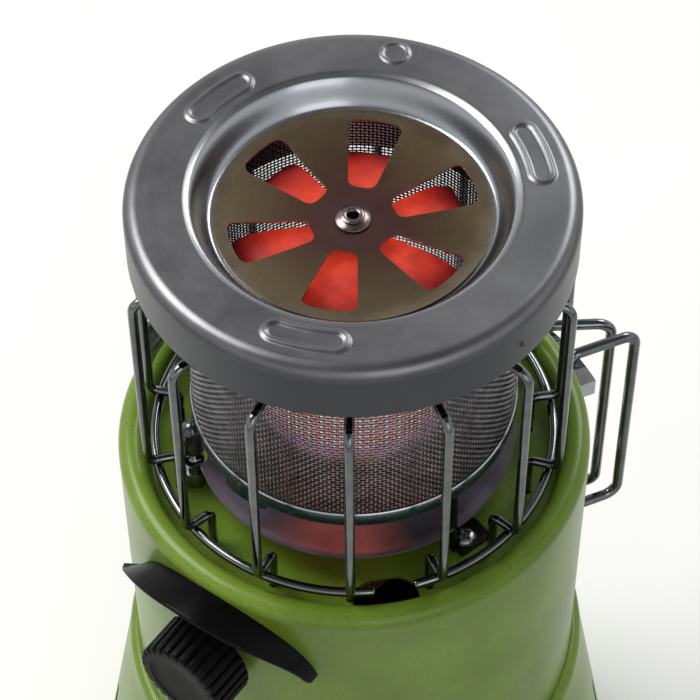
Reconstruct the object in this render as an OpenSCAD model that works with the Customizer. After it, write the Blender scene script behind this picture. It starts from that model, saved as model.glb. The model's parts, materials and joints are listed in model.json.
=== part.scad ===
// Portable propane heater. A flared base housing stands over a 1 lb cylinder, a drum on top of it
// carries the burner, and a wire guard holds a ring shaped cap above a woven radiant screen.
// Z is up, the feet stand on z = 0, and the front of the heater faces -Y.
// Heights named *_z are measured from the lip plane of the drum unless they say otherwise.

/* [Drum] */
// Height of the lip plane above the table
lip_z = 275; // [265:1:290]
// Outer radius of the drum
drum_r = 87; // [84:0.5:89]
// Wall of the drum and of its recessed floor
drum_wall = 1; // [0.8:0.1:1.4]
// Outer radius of the rolled lip's section
lip_roll = 5; // [4.5:0.1:5.5]
// Depth of the recessed floor below the lip plane
floor_depth = 11; // [10:0.5:13]
// Length of the drum that is tucked into the base housing
drum_tuck = 8; // [6:0.5:10]

/* [Base housing] */
// Top of the base housing below the lip plane
shoulder_depth = 123; // [118:0.5:126]
// Step from the drum out to the flare
shoulder_step = 4.2; // [3.8:0.1:5]
// Outward slope of the flare, millimetres out for each millimetre down
flare_slope = 0.175; // [0.15:0.005:0.2]
// Sheet thickness of the base housing
base_wall = 1.2; // [1:0.1:1.6]
// Number of vent slots
vent_count = 20; // [12:4:24]
// Height of a vent slot
vent_h = 26; // [18:1:32]
// Width of a vent slot
vent_w = 4.5; // [3:0.5:6]
// Middle of the vent slots below the lip plane
vent_depth = 190; // [184:1:196]
// Height of the rubber feet
foot_h = 5; // [4:0.5:7]
// Width of the weighted ring inside the base
ballast_w = 31; // [26:1:33]

/* [Cap] */
// Outer radius of the cap
cap_r = 76.5; // [74:0.5:79]
// Height of the cap's top face above the lip plane
cap_top_z = 132.5; // [128:0.5:138]
// Height of the cap's skirt
skirt_h = 22; // [19:0.2:26]
// Radius of the rounded edge between the skirt and the top
cap_edge = 5; // [4:0.25:6]
// Width of the polished funnel inside the cap's flat rim
funnel_w = 7.9; // [7:0.1:9.5]
// Depth of the funnel
dish_depth = 9.8; // [8:0.2:11]
// Sheet thickness of the cap and its disc
cap_wall = 0.8; // [0.6:0.1:1]
// Number of windows in the disc
window_count = 6; // [5:1:7]
// Inner radius of a window
window_in = 14.5; // [13:0.5:16]
// Width of the disc outside its windows
window_rim = 4.4; // [3.6:0.2:6]
// Depth of the disc's bowl inside its flat rim
disc_dip = 3.8; // [2.6:0.2:4.4]

/* [Screen and burner] */
// Gap between the recess wall of the drum and the woven screen
screen_gap = 18.7; // [18.2:0.1:20]
// Height of the screen's lower edge above the lip plane
mesh_z = 25.4; // [23:0.2:28]
// Radius of the ceramic tile
tile_r = 36.2; // [34:0.2:38]
// Thickness of the ceramic tile
tile_h = 12; // [10:0.5:14]
// Outer radius of the mixing tube
tube_r = 13; // [12:0.25:14]
// Radius of the glowing petals under the disc
petal_r = 35; // [31:0.5:37]
// Number of petals
petal_count = 6; // [5:1:7]

/* [Guard] */
// Number of guard wires
wire_count = 14; // [12:1:14]
// Angle between neighbouring guard wires
wire_pitch = 24.9; // [24:0.1:25.7]
// Diameter of the guard wire
wire_d = 3.5; // [3:0.1:4]
// Distance from the recess wall in to the centre of the open hoop
hoop_inset = 3.6; // [3.2:0.1:4.4]
// Distance from the hoop out to the upright wires
guard_out = 3.6; // [3:0.1:5]
// Height of the guard's top bends above the lip plane
guard_top_z = 98; // [94:0.5:101]

/* [Knob and hood] */
// Direction of the knob, degrees clockwise from the front
knob_az = -36; // [-40:1:-32]
// Depth of the knob's axis below the lip plane
knob_depth = 34.6; // [33:0.2:36]
// Diameter of the knob
knob_d = 36; // [30:0.5:40]
// Length of the knob
knob_len = 18; // [15:0.5:22]
// Gap between the drum and the knob
knob_gap = 2.8; // [1.5:0.1:5]
// Outer radius of the hood's arch
hood_r = 41; // [38:0.5:42.5]
// Thickness of the hood
hood_wall = 2; // [1.5:0.1:3]
// Reach of the hood from the drum
hood_reach = 13.8; // [10:0.2:18]

/* [Handle] */
// Diameter of the handle wire
grip_d = 4.4; // [4:0.1:5]
// Length of the handle loops' arms
grip_arm = 28; // [24:0.5:34]
// Depth of the handle's upper arms below the lip plane
grip_top = 20; // [16:0.5:24]
// Height between the upper and lower arms
grip_h = 105; // [100:0.5:108]
// Distance of the handle pivots from the drum
pivot_out = 11.5; // [11:0.25:14]
// Angle of the front loop's pivot, counterclockwise from +X
pivot_a = 31.3; // [28:0.1:33]
// Angle between the two pivots
pivot_gap_a = 10.8; // [10:0.1:13]

/* [Gas inlet] */
// Depth of the regulator's middle below the lip plane
reg_depth = 56; // [53:0.5:60]
// Radius of the regulator's disc
reg_r = 19; // [17:0.5:22]
// Bore radius of the inlet collar for a 1 inch cylinder valve
inlet_r = 12.7; // [12.5:0.05:13]
// Depth of the inlet bore
inlet_len = 14; // [12:0.5:16]

/* [Hidden] */
$fn = 96;
eps = 0.01;
fit = 0.05;          // radial clearance of a pin that turns in its bore
seat = 0.3;          // clearance between pieces that only meet
slack = 0.5;         // radial clearance of a screw or a pin in a sheet hole

green = "olivedrab";
steel = "silver";
dark = "dimgray";
black = "#202020";
brass = "goldenrod";

// Drum
recess_r = drum_r - 2 * lip_roll;                    // inner face of the recess wall
lip_mid_r = drum_r - lip_roll;                       // middle of the rolled lip's section
floor_z = lip_z - floor_depth;                       // upper face of the floor
under_floor_z = floor_z - drum_wall;
drum_low_z = lip_z - shoulder_depth - drum_tuck;
air_hole_az = 9.5;
air_hole_r = 8.6;
air_hole_half = 3.6;
air_hole_at = recess_r - air_hole_r - 1.4;

// Base housing
shoulder_z = lip_z - shoulder_depth;
shoulder_drop = 5.6;
shoulder_bend = 3.6;
hem_z = foot_h + 1;
hem_r = drum_r + shoulder_step + flare_slope * (shoulder_z - shoulder_drop - hem_z);
ballast_t = 4;
ballast_z = hem_z + 1;
ballast_out = hem_r - flare_slope * (ballast_z + ballast_t - hem_z) - 1.03 * base_wall - 0.2;
ballast_in = ballast_out - ballast_w;
foot_r = 9;
foot_at = ballast_in + ballast_w / 2;
foot_count = 4;

// Screen
mesh_r = recess_r - screen_gap;
mesh_t = 0.7;

// Cap
dish_inset = 2.8;                                    // from the screen in to where the funnel begins
dish_r = mesh_r - dish_inset;                        // radius where the funnel begins
throat_r = dish_r - funnel_w;                        // radius where the funnel ends
cap_z = lip_z + cap_top_z;
skirt_z = cap_z - skirt_h;
disc_z = cap_z - dish_depth;                         // upper face of the disc
disc_t = cap_wall - 0.1;
flange_z = disc_z - cap_wall;                        // upper face of the flange under the disc
flange_in = throat_r - 2.6;
disc_r = throat_r - 0.6;
bowl_r = flange_in - 0.2;                            // radius where the disc's bowl begins
hub_z = disc_z - disc_dip;                           // middle of the disc, where the eyelet sits
window_out = disc_r - window_rim;
window_turn = 11.4;
window_half_in = 4.5;
window_half_out = 9.7;
eyelet_bore = 1.8;
eyelet_tube = 3;
eyelet_flange = 4.2;
washer_r = 6.2;
petal_top = hub_z - 4;
petal_t = 0.8;
petal_hub = 9;                                       // radius of the petals' common hub
petal_gap = 15;                                      // half width of the gaps at twice the petals' radius
bead_len = 30;
bead_w = 10.5;
bead_rib = 1.6;
bead_h = 0.7;
bead_az = [106, -14, -134];
bead_at = (cap_r - cap_edge + dish_r) / 2;
boss_az = 12.9;
boss_at = bead_at + 2.5;
boss_r = 5.4;

// Burner
mesh_low = lip_z + mesh_z;
mesh_top = cap_z - cap_wall - seat;
plate_t = 1.2;
pan_t = 0.6;
plate_z = mesh_low - plate_t - 0.1;                  // lower face of the burner plate
plate_r = mesh_r + 0.7;
collar_h = 5.4;
tab_from = -51;                                       // directions of the tab bent down from the collar
tab_to = -32;
tab_h = 6;
tab_t = 1.1;
tile_z = lip_z + 34 - tile_h;
gasket_t = 1.3;
pan_r = mesh_r + 0.7;
cup_t = 0.8;
cup_in = tile_r + gasket_t + 0.1;
cup_out = cup_in + cup_t;
cup_neck_z = lip_z - 5;
tube_t = 1.2;
tube_low = lip_z - 25;
tube_top = lip_z + 1;
flange_r = 23;
flange_t = 1.5;
flange_screw_at = 19;
flange_screw_az = [for (i = [0:2]) knob_az + 60 + i * 120];

// Guard
wire_r = wire_d / 2;
hoop_r = recess_r - hoop_inset;
guard_r = hoop_r + guard_out;
hoop_z = lip_z + 4.4;
cross_z = hoop_z + wire_d + 0.1;                     // wires pass over the hoop at this height
guard_top = lip_z + guard_top_z;
guard_bend = 5;
guard_foot_bend = 4;
hook_bend = 3;
hook_r = hoop_r - 7.4;
hook_low = under_floor_z - 3;
band_t = 0.7;
band_low = guard_top - 6;
top_ring_r = mesh_r + 0.1 + band_t + wire_r + 0.2;
hoop_gap_from = 5.3;
hoop_gap_to = 16.5;
first_wire = -6;
wire_turn = -1.3;

// Supports
bracket_az = [38, 158, -112];
bracket_w = 5.7;
bracket_in = plate_r - 0.3 - bracket_w;
bracket_t = 1.3;
bracket_foot_in = bracket_in - 3;
bracket_foot_out = hook_r - wire_r - 2.2;
bracket_foot_w = 15;
screw_at = bracket_in + 4;
screw_off = 6.2;

// Sensor beside the burner
sensor_az = -77.5;
sensor_at = hook_r - 6;
sensor_nut_h = 7;
sensor_nut_r = 4.6;
dome_out = 4.1;
dome_low = floor_z + 19;
dome_h = 15.5;

// Piezo unit and its lead
piezo_at = sensor_at - 14;
piezo_w = 15;
piezo_t = 13;
piezo_h = 34;
lead_r = 1.5;
lead_bend = 4;

// Knob
knob_z = lip_z - knob_depth;
knob_in = drum_r + knob_gap;
flute_count = 28;
flute_r = 1.25;                                      // radius of a rib on the knob
knob_bevel = 1.2;
spindle_r = 3;
hood_z = knob_z - 5.7;                               // axis of the hood's arch
hood_drop = 11;                                      // tips of the hood above that axis
hood_plan_r = 55;
hood_pin_a = [27, 63, 117, 153];
hood_pin_r = 0.8;
hood_pin_len = 4.5;

// Valve
valve_r = 9;
valve_back = -9;
valve_front = drum_r - 21;
valve_bore_from = 26;
nut_len = 6;
hanger_from = 14;
hanger_len = 18;
hanger_t = 1.5;
hanger_foot = 9;
hanger_screw_t = valve_r + seat + hanger_t + hanger_foot / 2;
jet_top = lip_z - 16;
reg_z = lip_z - reg_depth;
reg_block_r = 14;
reg_block_up = 10;                                   // top and bottom of the block from the regulator's middle
reg_block_down = 14.5;
reg_block_low = reg_z - reg_block_down;
reg_disc_gap = 2;                                    // from the block back to the disc
reg_disc_t = 8;
reg_port_r = 2;
diaphragm_at = reg_disc_gap + reg_disc_t;            // distance of the diaphragm behind the block
diaphragm_t = 1;
cover_at = diaphragm_at + diaphragm_t;
cover_t = 3;
inlet_low = reg_block_low - inlet_len;
collar_lap = 4.5;                                    // length of the collar around the block
inlet_wall = 3;
seal_r = 8;
seal_wire = 1.25;

// Handle
grip_r = grip_d / 2;
pivot_r = drum_r + pivot_out;
grip_z = lip_z - grip_top;
grip_low_z = grip_z - grip_h;
pin_len = 11;
lug_h = 8;
lug_edge = 4.6;
grip_bend = 6;
grip_turn = [22.7, 2.2];                             // directions of the two loops, from +X

// Plate at the left rear of the guard
plate_from = -127.4;
plate_to = -104.2;
guard_plate_low = hoop_z + 6;
guard_plate_h = 22;
guard_plate_w = 2 * (guard_r + wire_r) * sin((plate_to - plate_from) / 2);

// Turns the local x axis to a direction given clockwise from the front
module at_az(az) rotate([0, 0, az - 90]) children();

// A round rod from one point to another
module rod(a, b, r) {
    d = b - a;
    h = norm(d);
    translate(a) rotate([0, acos(d[2] / h), atan2(d[1], d[0])]) cylinder(h = h, r = r);
}

// A bend of round rod in the x-z plane: centre, bend radius, start angle and sweep
module bend(c, br, from, sweep, r) {
    translate([c[0], 0, c[1]]) rotate([90, 0, 0]) rotate([0, 0, from])
        rotate_extrude(angle = sweep) translate([br, 0]) circle(r = r, $fn = 32);
}

// A flat ring
module ring(ro, ri, z, h) {
    translate([0, 0, z]) difference() {
        cylinder(h = h, r = ro);
        translate([0, 0, -1]) cylinder(h = h + 2, r = ri);
    }
}

// Unit normal of a profile at point i, on its left side
function chord(p, i) = p[min(i + 1, len(p) - 1)] - p[max(i - 1, 0)];
function left(v) = [-v[1], v[0]] / norm(v);
function shifted(p, t) = [for (i = [0:len(p) - 1]) p[i] + t * left(chord(p, i))];
function reversed(p) = [for (i = [len(p) - 1:-1:0]) p[i]];
function arc(c, r, from, to, n) =
    [for (i = [0:n]) c + r * [cos(from + (to - from) * i / n), sin(from + (to - from) * i / n)]];

// A revolved sheet: its outer profile and its thickness to the left of it
module sheet(p, t) rotate_extrude() polygon(concat(p, reversed(shifted(p, t))));

// A domed screw head with a shank below it, head face at z = 0
module screw(head_r, head_h, shank_r, shank_len) {
    dome_r = (head_r * head_r + head_h * head_h) / (2 * head_h);
    intersection() {
        translate([0, 0, head_h - dome_r]) sphere(r = dome_r, $fn = 48);
        cylinder(h = head_h, r = head_r, $fn = 48);
    }
    translate([0, 0, -shank_len]) cylinder(h = shank_len, r = shank_r, $fn = 32);
}

// Places of the hood's pins: offset, height and the drum's surface there
function pin_t(a) = (hood_r - hood_wall / 2) * cos(a);
function pin_z(a) = hood_z + (hood_r - hood_wall / 2) * sin(a);
function hood_seat_x(a) = sqrt(drum_r * drum_r - pin_t(a) * pin_t(a));

// Places one rivet on each side of the pivots, for both lugs on the drum
rivet_a = [pivot_a - 4.6, pivot_a + pivot_gap_a + 4.6];
rivet_in = drum_r - drum_wall - 1.6;
upper_lug_z = grip_z - grip_r - 1 - lug_h;
lower_lug_z = grip_low_z + grip_r + 1;

module base_housing() {
    profile = concat(
        [[hem_r - 3, hem_z - 1], [hem_r, hem_z]],
        [[drum_r + shoulder_step, shoulder_z - shoulder_drop]],
        arc([drum_r + shoulder_step - shoulder_bend, shoulder_z - shoulder_bend], shoulder_bend, 10, 90, 6),
        [[drum_r + 0.1, shoulder_z]]);
    color(green) difference() {
        union() {
            sheet(profile, base_wall);
            ring(drum_r + base_wall + 0.1, drum_r + 0.1, shoulder_z - drum_tuck, drum_tuck - 0.2);
        }
        for (i = [0:vent_count - 1]) rotate([0, 0, i * 360 / vent_count])
            translate([drum_r - 20, 0, lip_z - vent_depth]) {
                translate([0, -vent_w / 2, -vent_h / 2 + vent_w / 2]) cube([50, vent_w, vent_h - vent_w]);
                for (s = [-1, 1]) translate([0, 0, s * (vent_h - vent_w) / 2])
                    rotate([0, 90, 0]) cylinder(h = 50, r = vent_w / 2, $fn = 24);
            }
    }
}

module ballast_ring() color(black) difference() {
    ring(ballast_out, ballast_in, ballast_z, ballast_t);
    for (i = [0:foot_count - 1]) rotate([0, 0, 45 + i * 360 / foot_count]) translate([foot_at, 0, 0])
        cylinder(h = 40, r = 2.2, $fn = 24);
}

module rubber_feet() color(black) for (i = [0:foot_count - 1])
    rotate([0, 0, 45 + i * 360 / foot_count]) translate([foot_at, 0, 0]) {
        cylinder(h = foot_h - 1, r1 = foot_r - 1, r2 = foot_r);
        translate([0, 0, foot_h - 1]) cylinder(h = ballast_z - foot_h + 0.9, r = foot_r);
        translate([0, 0, hem_z]) cylinder(h = ballast_t + 2, r = 2, $fn = 24);
        translate([0, 0, ballast_z + ballast_t + 0.1]) cylinder(h = 2, r1 = 3.4, r2 = 2, $fn = 24);
    }

module drum_shell() {
    profile = concat(
        [[drum_r, drum_low_z], [drum_r, lip_z]],
        arc([lip_mid_r, lip_z], lip_roll, 12, 168, 12),
        [[recess_r, lip_z], [recess_r, floor_z + 3]],
        arc([recess_r - 3, floor_z + 3], 3, 0, -90, 5),
        [[tube_r + 2, floor_z]]);
    color(green) difference() {
        sheet(profile, drum_wall);
        at_az(air_hole_az) translate([air_hole_at, 0, under_floor_z - 1]) {
            for (s = [-1, 1]) translate([0, s * air_hole_half, 0]) cylinder(h = 4, r = air_hole_r);
            translate([-air_hole_r, -air_hole_half, 0]) cube([2 * air_hole_r, 2 * air_hole_half, 4]);
        }
        for (i = [0:wire_count - 1]) at_az(wire_turn + (first_wire + i) * wire_pitch)
            translate([hook_r, 0, under_floor_z - 1]) cylinder(h = 4, r = wire_r + 0.1, $fn = 24);
        for (a = bracket_az) at_az(a) translate([screw_at, screw_off, under_floor_z - 1])
            cylinder(h = 4, r = 2 + slack, $fn = 24);
        for (a = flange_screw_az) at_az(a) translate([flange_screw_at, 0, under_floor_z - 1])
            cylinder(h = 4, r = 1.5 + slack, $fn = 24);
        for (s = [-1, 1]) at_az(knob_az) translate([hanger_from + hanger_len / 2, s * hanger_screw_t, under_floor_z - 1])
            cylinder(h = 4, r = 2 + slack, $fn = 24);
        at_az(sensor_az) translate([sensor_at, 0, under_floor_z - 1]) cylinder(h = 4, r = 4.2, $fn = 32);
        at_az(knob_az) translate([drum_r - 10, 0, knob_z]) rotate([0, 90, 0]) cylinder(h = 20, r = spindle_r + 3);
        for (a = hood_pin_a) at_az(knob_az) translate([hood_seat_x(a) - 8, pin_t(a), pin_z(a)])
            rotate([0, 90, 0]) cylinder(h = 12, r = hood_pin_r + 0.2, $fn = 24);
        for (a = rivet_a, z = [lower_lug_z, upper_lug_z]) rotate([0, 0, a]) translate([drum_r - 4, 0, z + lug_h / 2])
            rotate([0, 90, 0]) cylinder(h = 10, r = 1.5 + fit, $fn = 24);
    }
}

module knob_hood() color(black) {
    difference() {
        intersection() {
            at_az(knob_az) translate([drum_r - 25, 0, hood_z]) rotate([0, 90, 0]) cylinder(h = 60, r = hood_r);
            at_az(knob_az) translate([drum_r + hood_reach - hood_plan_r, 0, hood_z + hood_drop])
                cylinder(h = hood_r, r = hood_plan_r);
        }
        at_az(knob_az) translate([drum_r - 26, 0, hood_z]) rotate([0, 90, 0])
            cylinder(h = 62, r = hood_r - hood_wall);
        translate([0, 0, lip_z - 90]) cylinder(h = 100, r = drum_r + 0.1);
    }
    for (a = hood_pin_a) at_az(knob_az) translate([hood_seat_x(a) - hood_pin_len, pin_t(a), pin_z(a)])
        rotate([0, 90, 0]) cylinder(h = hood_pin_len + 2, r = hood_pin_r, $fn = 24);
}

module hood_clips() color(steel) for (a = hood_pin_a) {
    inner = sqrt(pow(drum_r - drum_wall, 2) - pow(abs(pin_t(a)) + 3, 2));
    at_az(knob_az) translate([inner - 1, pin_t(a), pin_z(a)]) rotate([0, 90, 0]) difference() {
        cylinder(h = 0.8, r = 3, $fn = 24);
        translate([0, 0, -1]) cylinder(h = 3, r = hood_pin_r + 0.1, $fn = 24);
    }
}

// One lug: a curved block with the two pivot bores
module lug(z) {
    difference() {
        intersection() {
            rotate([0, 0, pivot_a - 7.4]) translate([0, 0, z])
                rotate_extrude(angle = pivot_gap_a + 14.8) translate([drum_r - 1, 0])
                    square([pivot_r + lug_edge - drum_r + 1, lug_h]);
            translate([0, 0, z - 1]) cylinder(h = lug_h + 2, r = pivot_r + lug_edge - 1);
        }
        translate([0, 0, z - 1]) cylinder(h = lug_h + 2, r = drum_r + 0.1);
        for (a = [pivot_a, pivot_a + pivot_gap_a]) rotate([0, 0, a]) translate([pivot_r, 0, z - 1])
            cylinder(h = lug_h + 2, r = grip_r + fit);
        for (a = rivet_a) rotate([0, 0, a]) translate([drum_r - 10, 0, z + lug_h / 2])
            rotate([0, 90, 0]) cylinder(h = 40, r = 1.5 + fit, $fn = 24);
    }
}

module hinge_lugs() color(steel) {
    lug(upper_lug_z);
    lug(lower_lug_z);
}

module lug_rivets() color(steel) for (a = rivet_a, z = [lower_lug_z, upper_lug_z])
    rotate([0, 0, a]) translate([rivet_in, 0, z + lug_h / 2]) rotate([0, 90, 0]) {
        cylinder(h = 1, r = 2.8, $fn = 24);
        cylinder(h = pivot_r + lug_edge - 1 - rivet_in, r = 1.5, $fn = 24);
        translate([0, 0, pivot_r + lug_edge - 0.9 - rivet_in]) screw(3, 1.4, 1.5, 1);
    }

// Polished plate on the outside of the guard, welded to a rear wire
module guard_plate() color(steel) intersection() {
    rotate([0, 0, plate_from - 92]) translate([0, 0, guard_plate_low - 1])
        rotate_extrude(angle = plate_to - plate_from + 4)
            translate([guard_r + wire_r + 0.1, 0]) square([1, guard_plate_h + 2]);
    at_az((plate_from + plate_to) / 2) translate([guard_r / 2, 0, guard_plate_low]) rotate([90, 0, 90])
        linear_extrude(height = guard_r) rounded(guard_plate_w, guard_plate_h, 6);
}

// A rectangle that stands on the x axis with rounded upper corners
module rounded(w, h, r)
    polygon(concat([[w / 2, 0]], arc([w / 2 - r, h - r], r, 0, 90, 8), arc([r - w / 2, h - r], r, 90, 180, 8),
                   [[-w / 2, 0]]));

module guard_hoop() color(steel) translate([0, 0, hoop_z]) rotate([0, 0, hoop_gap_to - 90])
    rotate_extrude(angle = 360 - hoop_gap_to + hoop_gap_from) translate([hoop_r, 0]) circle(r = wire_r, $fn = 32);

// One guard wire: in from the top ring, out and down, in over the hoop and down into the floor
module guard_wire() {
    top_in = guard_r - guard_bend;
    foot_in = guard_r - guard_foot_bend;
    rod([top_ring_r - wire_r, 0, guard_top], [top_in, 0, guard_top], wire_r);
    bend([top_in, guard_top - guard_bend], guard_bend, 0, 90, wire_r);
    rod([guard_r, 0, guard_top - guard_bend], [guard_r, 0, cross_z + guard_foot_bend], wire_r);
    bend([foot_in, cross_z + guard_foot_bend], guard_foot_bend, 270, 90, wire_r);
    rod([foot_in, 0, cross_z], [hook_r + hook_bend, 0, cross_z], wire_r);
    bend([hook_r + hook_bend, cross_z - hook_bend], hook_bend, 90, 90, wire_r);
    rod([hook_r, 0, cross_z - hook_bend], [hook_r, 0, hook_low], wire_r);
}

module guard_wires() color(steel) for (i = [0:wire_count - 1])
    at_az(wire_turn + (first_wire + i) * wire_pitch) guard_wire();

module guard_top_ring() color(steel) translate([0, 0, guard_top - wire_d - 0.1])
    rotate_extrude() translate([top_ring_r, 0]) circle(r = wire_r, $fn = 32);

module cap() {
    profile = concat(
        [[cap_r, skirt_z]],
        arc([cap_r - cap_edge, cap_z - cap_edge], cap_edge, 0, 90, 8),
        [for (i = [0:12]) [dish_r - funnel_w * i / 12, flange_z + (cap_z - flange_z) * (1 + cos(180 * i / 12)) / 2]],
        [[flange_in, flange_z]]);
    color(steel) {
        sheet(profile, cap_wall);
        for (a = bead_az) at_az(a) translate([bead_at, 0, cap_z - eps]) linear_extrude(height = bead_h) difference() {
            racetrack(bead_len, bead_w);
            racetrack(bead_len - 2 * bead_rib, bead_w - 2 * bead_rib);
        }
        at_az(180 - boss_az) ring_boss();
    }
}

// Plain round boss on the cap's top
module ring_boss() translate([boss_at, 0, 0]) ring(boss_r, boss_r - bead_rib, cap_z - eps, bead_h);

// A slot outline that is long across the radius
module racetrack(length, width) {
    for (s = [-1, 1]) translate([0, s * (length - width) / 2]) circle(r = width / 2, $fn = 48);
    square([width, length - width], center = true);
}

module window_outline() {
    a0 = [window_in, window_half_in];
    a1 = [window_out + 3, window_half_out * 1.08];
    intersection() {
        polygon([[a0[0], -a0[1]], [a1[0], -a1[1]], [a1[0], a1[1]], [a0[0], a0[1]]]);
        circle(r = window_out);
    }
}

module cap_disc() {
    bowl = [for (i = [0:8]) [bowl_r - (bowl_r - washer_r) * i / 8, disc_z - disc_dip * sin(90 * i / 8)]];
    color("tan") difference() {
        sheet(concat([[disc_r, disc_z]], bowl, [[eyelet_tube + 0.1, hub_z]]), disc_t);
        for (i = [0:window_count - 1]) rotate([0, 0, 90 - window_turn + i * 360 / window_count])
            translate([0, 0, hub_z - 2]) linear_extrude(height = disc_dip + 4) window_outline();
    }
}

module centre_eyelet() color(steel) difference() {
    union() {
        translate([0, 0, hub_z - 6]) cylinder(h = 8, r = eyelet_tube);
        translate([0, 0, hub_z + 2]) cylinder(h = 0.8, r = eyelet_flange);
        translate([0, 0, hub_z - 6]) cylinder(h = 0.8, r = eyelet_flange);
    }
    translate([0, 0, hub_z - 8]) cylinder(h = 14, r = eyelet_bore);
}

module eyelet_washer() color(steel) translate([0, 0, hub_z]) rotate_extrude()
    polygon([[eyelet_tube + 0.1, 0.9], [washer_r, 0.1], [washer_r, 0.8], [eyelet_tube + 0.1, 1.9]]);

// Petals that hang from the eyelet and glow under the windows
module radiant_dome() {
    profile = [[petal_r + 5, petal_top - 9], [petal_r + 2, petal_top - 5.6], [petal_r - 2, petal_top - 2.6],
               [petal_r - 8, petal_top - 1.2], [petal_r / 2, petal_top - 0.5], [eyelet_tube + 0.1, petal_top]];
    color("orangered") difference() {
        sheet(profile, petal_t);
        for (i = [0:petal_count - 1]) rotate([0, 0, 90 - window_turn + (i + 0.5) * 360 / petal_count])
            linear_extrude(height = cap_z) polygon([[petal_hub, -0.5], [petal_r * 2, -petal_gap],
                                                     [petal_r * 2, petal_gap], [petal_hub, 0.5]]);
    }
}

module mesh_screen() color(dark) ring(mesh_r, mesh_r - mesh_t, mesh_low, mesh_top - mesh_low);

module mesh_band() color(steel) ring(mesh_r + 0.1 + band_t, mesh_r + 0.1, band_low, mesh_top - band_low);

module burner_plate() color(dark) {
    ring(plate_r, cup_out + 0.1, plate_z, plate_t);
    ring(plate_r, mesh_r + 0.1, plate_z, plate_t + collar_h);
    rotate([0, 0, tab_from - 90]) rotate_extrude(angle = tab_to - tab_from)
        translate([plate_r - tab_t - 0.5, plate_z - tab_h]) square([tab_t, tab_h + eps]);
}

module reflector_pan() {
    profile = [[pan_r, lip_z + 4.8], [pan_r - 1, lip_z + 4.4], [pan_r - 6, lip_z + 1.6], [pan_r - 14, lip_z - 0.2],
               [pan_r - 26, lip_z - 1], [tube_r + 1.1, lip_z - 1]];
    color(steel) difference() {
        sheet(profile, pan_t);
        for (a = bracket_az) at_az(a) translate([bracket_in - seat, -bracket_t / 2 - seat, lip_z - 8])
            cube([20, bracket_t + 2 * seat, 20]);
        at_az(sensor_az) translate([sensor_at, 0, lip_z - 8]) cylinder(h = 20, r = dome_out + 0.8);
    }
}

module burner_cup() {
    profile = [[cup_out, tile_z + tile_h - 2], [cup_out, lip_z + 15], [cup_out - 3, lip_z + 11],
               [tube_r + 8, lip_z + 5], [tube_r + 2, lip_z + 2.5], [tube_r + 0.9, lip_z], [tube_r + 0.9, cup_neck_z]];
    color(dark) {
        sheet(profile, -cup_t);
        ring(cup_out + 4, cup_out - 0.2, plate_z - 1.3, 1.2);
        ring(cup_out, tile_r - 2, tile_z - 1.2, 1.1);
    }
}

module tile_gasket() color("wheat") ring(tile_r + 0.05 + gasket_t, tile_r + 0.05, tile_z, tile_h - 1);

module ceramic_tile() color("mistyrose") translate([0, 0, tile_z]) cylinder(h = tile_h, r = tile_r);

module mixing_tube() color(dark) difference() {
    ring(tube_r, tube_r - tube_t, tube_low, tube_top - tube_low);
    for (a = [0, 90]) rotate([0, 0, a + 45]) translate([-20, -4, tube_low + 2]) cube([40, 8, 7]);
}

module tube_flange() color(steel) difference() {
    ring(flange_r, tube_r + 0.1, floor_z, flange_t);
    for (a = flange_screw_az) at_az(a) translate([flange_screw_at, 0, floor_z - 1])
        cylinder(h = 4, r = 1.5 + fit, $fn = 24);
}

module flange_screws() color(steel) for (a = flange_screw_az)
    at_az(a) translate([flange_screw_at, 0, floor_z + flange_t]) screw(2.8, 1.8, 1.5, 6);

module support_brackets() color(black) for (a = bracket_az) at_az(a) difference() {
    union() {
        translate([bracket_in, -bracket_t / 2, floor_z]) cube([bracket_w, bracket_t, plate_z - 0.1 - floor_z]);
        translate([bracket_foot_in, -bracket_t / 2, floor_z])
            cube([bracket_foot_out - bracket_foot_in, bracket_foot_w, bracket_t]);
    }
    translate([screw_at, screw_off, floor_z - 1]) cylinder(h = 4, r = 2 + fit, $fn = 24);
}

module bracket_screws() color(steel) for (a = bracket_az)
    at_az(a) translate([screw_at, screw_off, floor_z + bracket_t]) screw(4.25, 2.6, 2, 7);

module sensor_nut() color(steel) at_az(sensor_az) translate([sensor_at, 0, floor_z]) difference() {
    rotate([0, 0, 30]) cylinder(h = sensor_nut_h, r = sensor_nut_r, $fn = 6);
    translate([0, 0, -1]) cylinder(h = sensor_nut_h + 2, r = 3 + fit);
}

module sensor_stem() color(steel) at_az(sensor_az) translate([sensor_at, 0, floor_z]) {
    translate([0, 0, -7]) cylinder(h = sensor_nut_h + 10, r = 3);
    translate([0, 0, sensor_nut_h + 6]) sphere(r = 3.8, $fn = 48);
    cylinder(h = dome_low - floor_z + 5, r = 1.8);
}

module sensor_dome() color(black) at_az(sensor_az) translate([sensor_at, 0, dome_low]) difference() {
    union() {
        cylinder(h = dome_h - dome_out, r = dome_out);
        translate([0, 0, dome_h - dome_out]) intersection() {
            sphere(r = dome_out, $fn = 64);
            cylinder(h = dome_out, r = dome_out);
        }
    }
    translate([0, 0, -1]) cylinder(h = 7, r = 1.8 + fit);
}

// Lead from the sensor down and across to the piezo unit
module ignition_lead() color(black) at_az(sensor_az) {
    low = floor_z - 22;
    rod([sensor_at, 0, floor_z - 7.1], [sensor_at, 0, low + lead_bend], lead_r);
    bend([sensor_at - lead_bend, low + lead_bend], lead_bend, 270, 90, lead_r);
    rod([sensor_at - lead_bend, 0, low], [piezo_at + piezo_w / 2 + 0.1, 0, low], lead_r);
}

module piezo_unit() color(black) at_az(sensor_az) translate([piezo_at - piezo_w / 2, -piezo_t / 2, under_floor_z - 0.1 - piezo_h])
    cube([piezo_w, piezo_t, piezo_h]);

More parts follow.
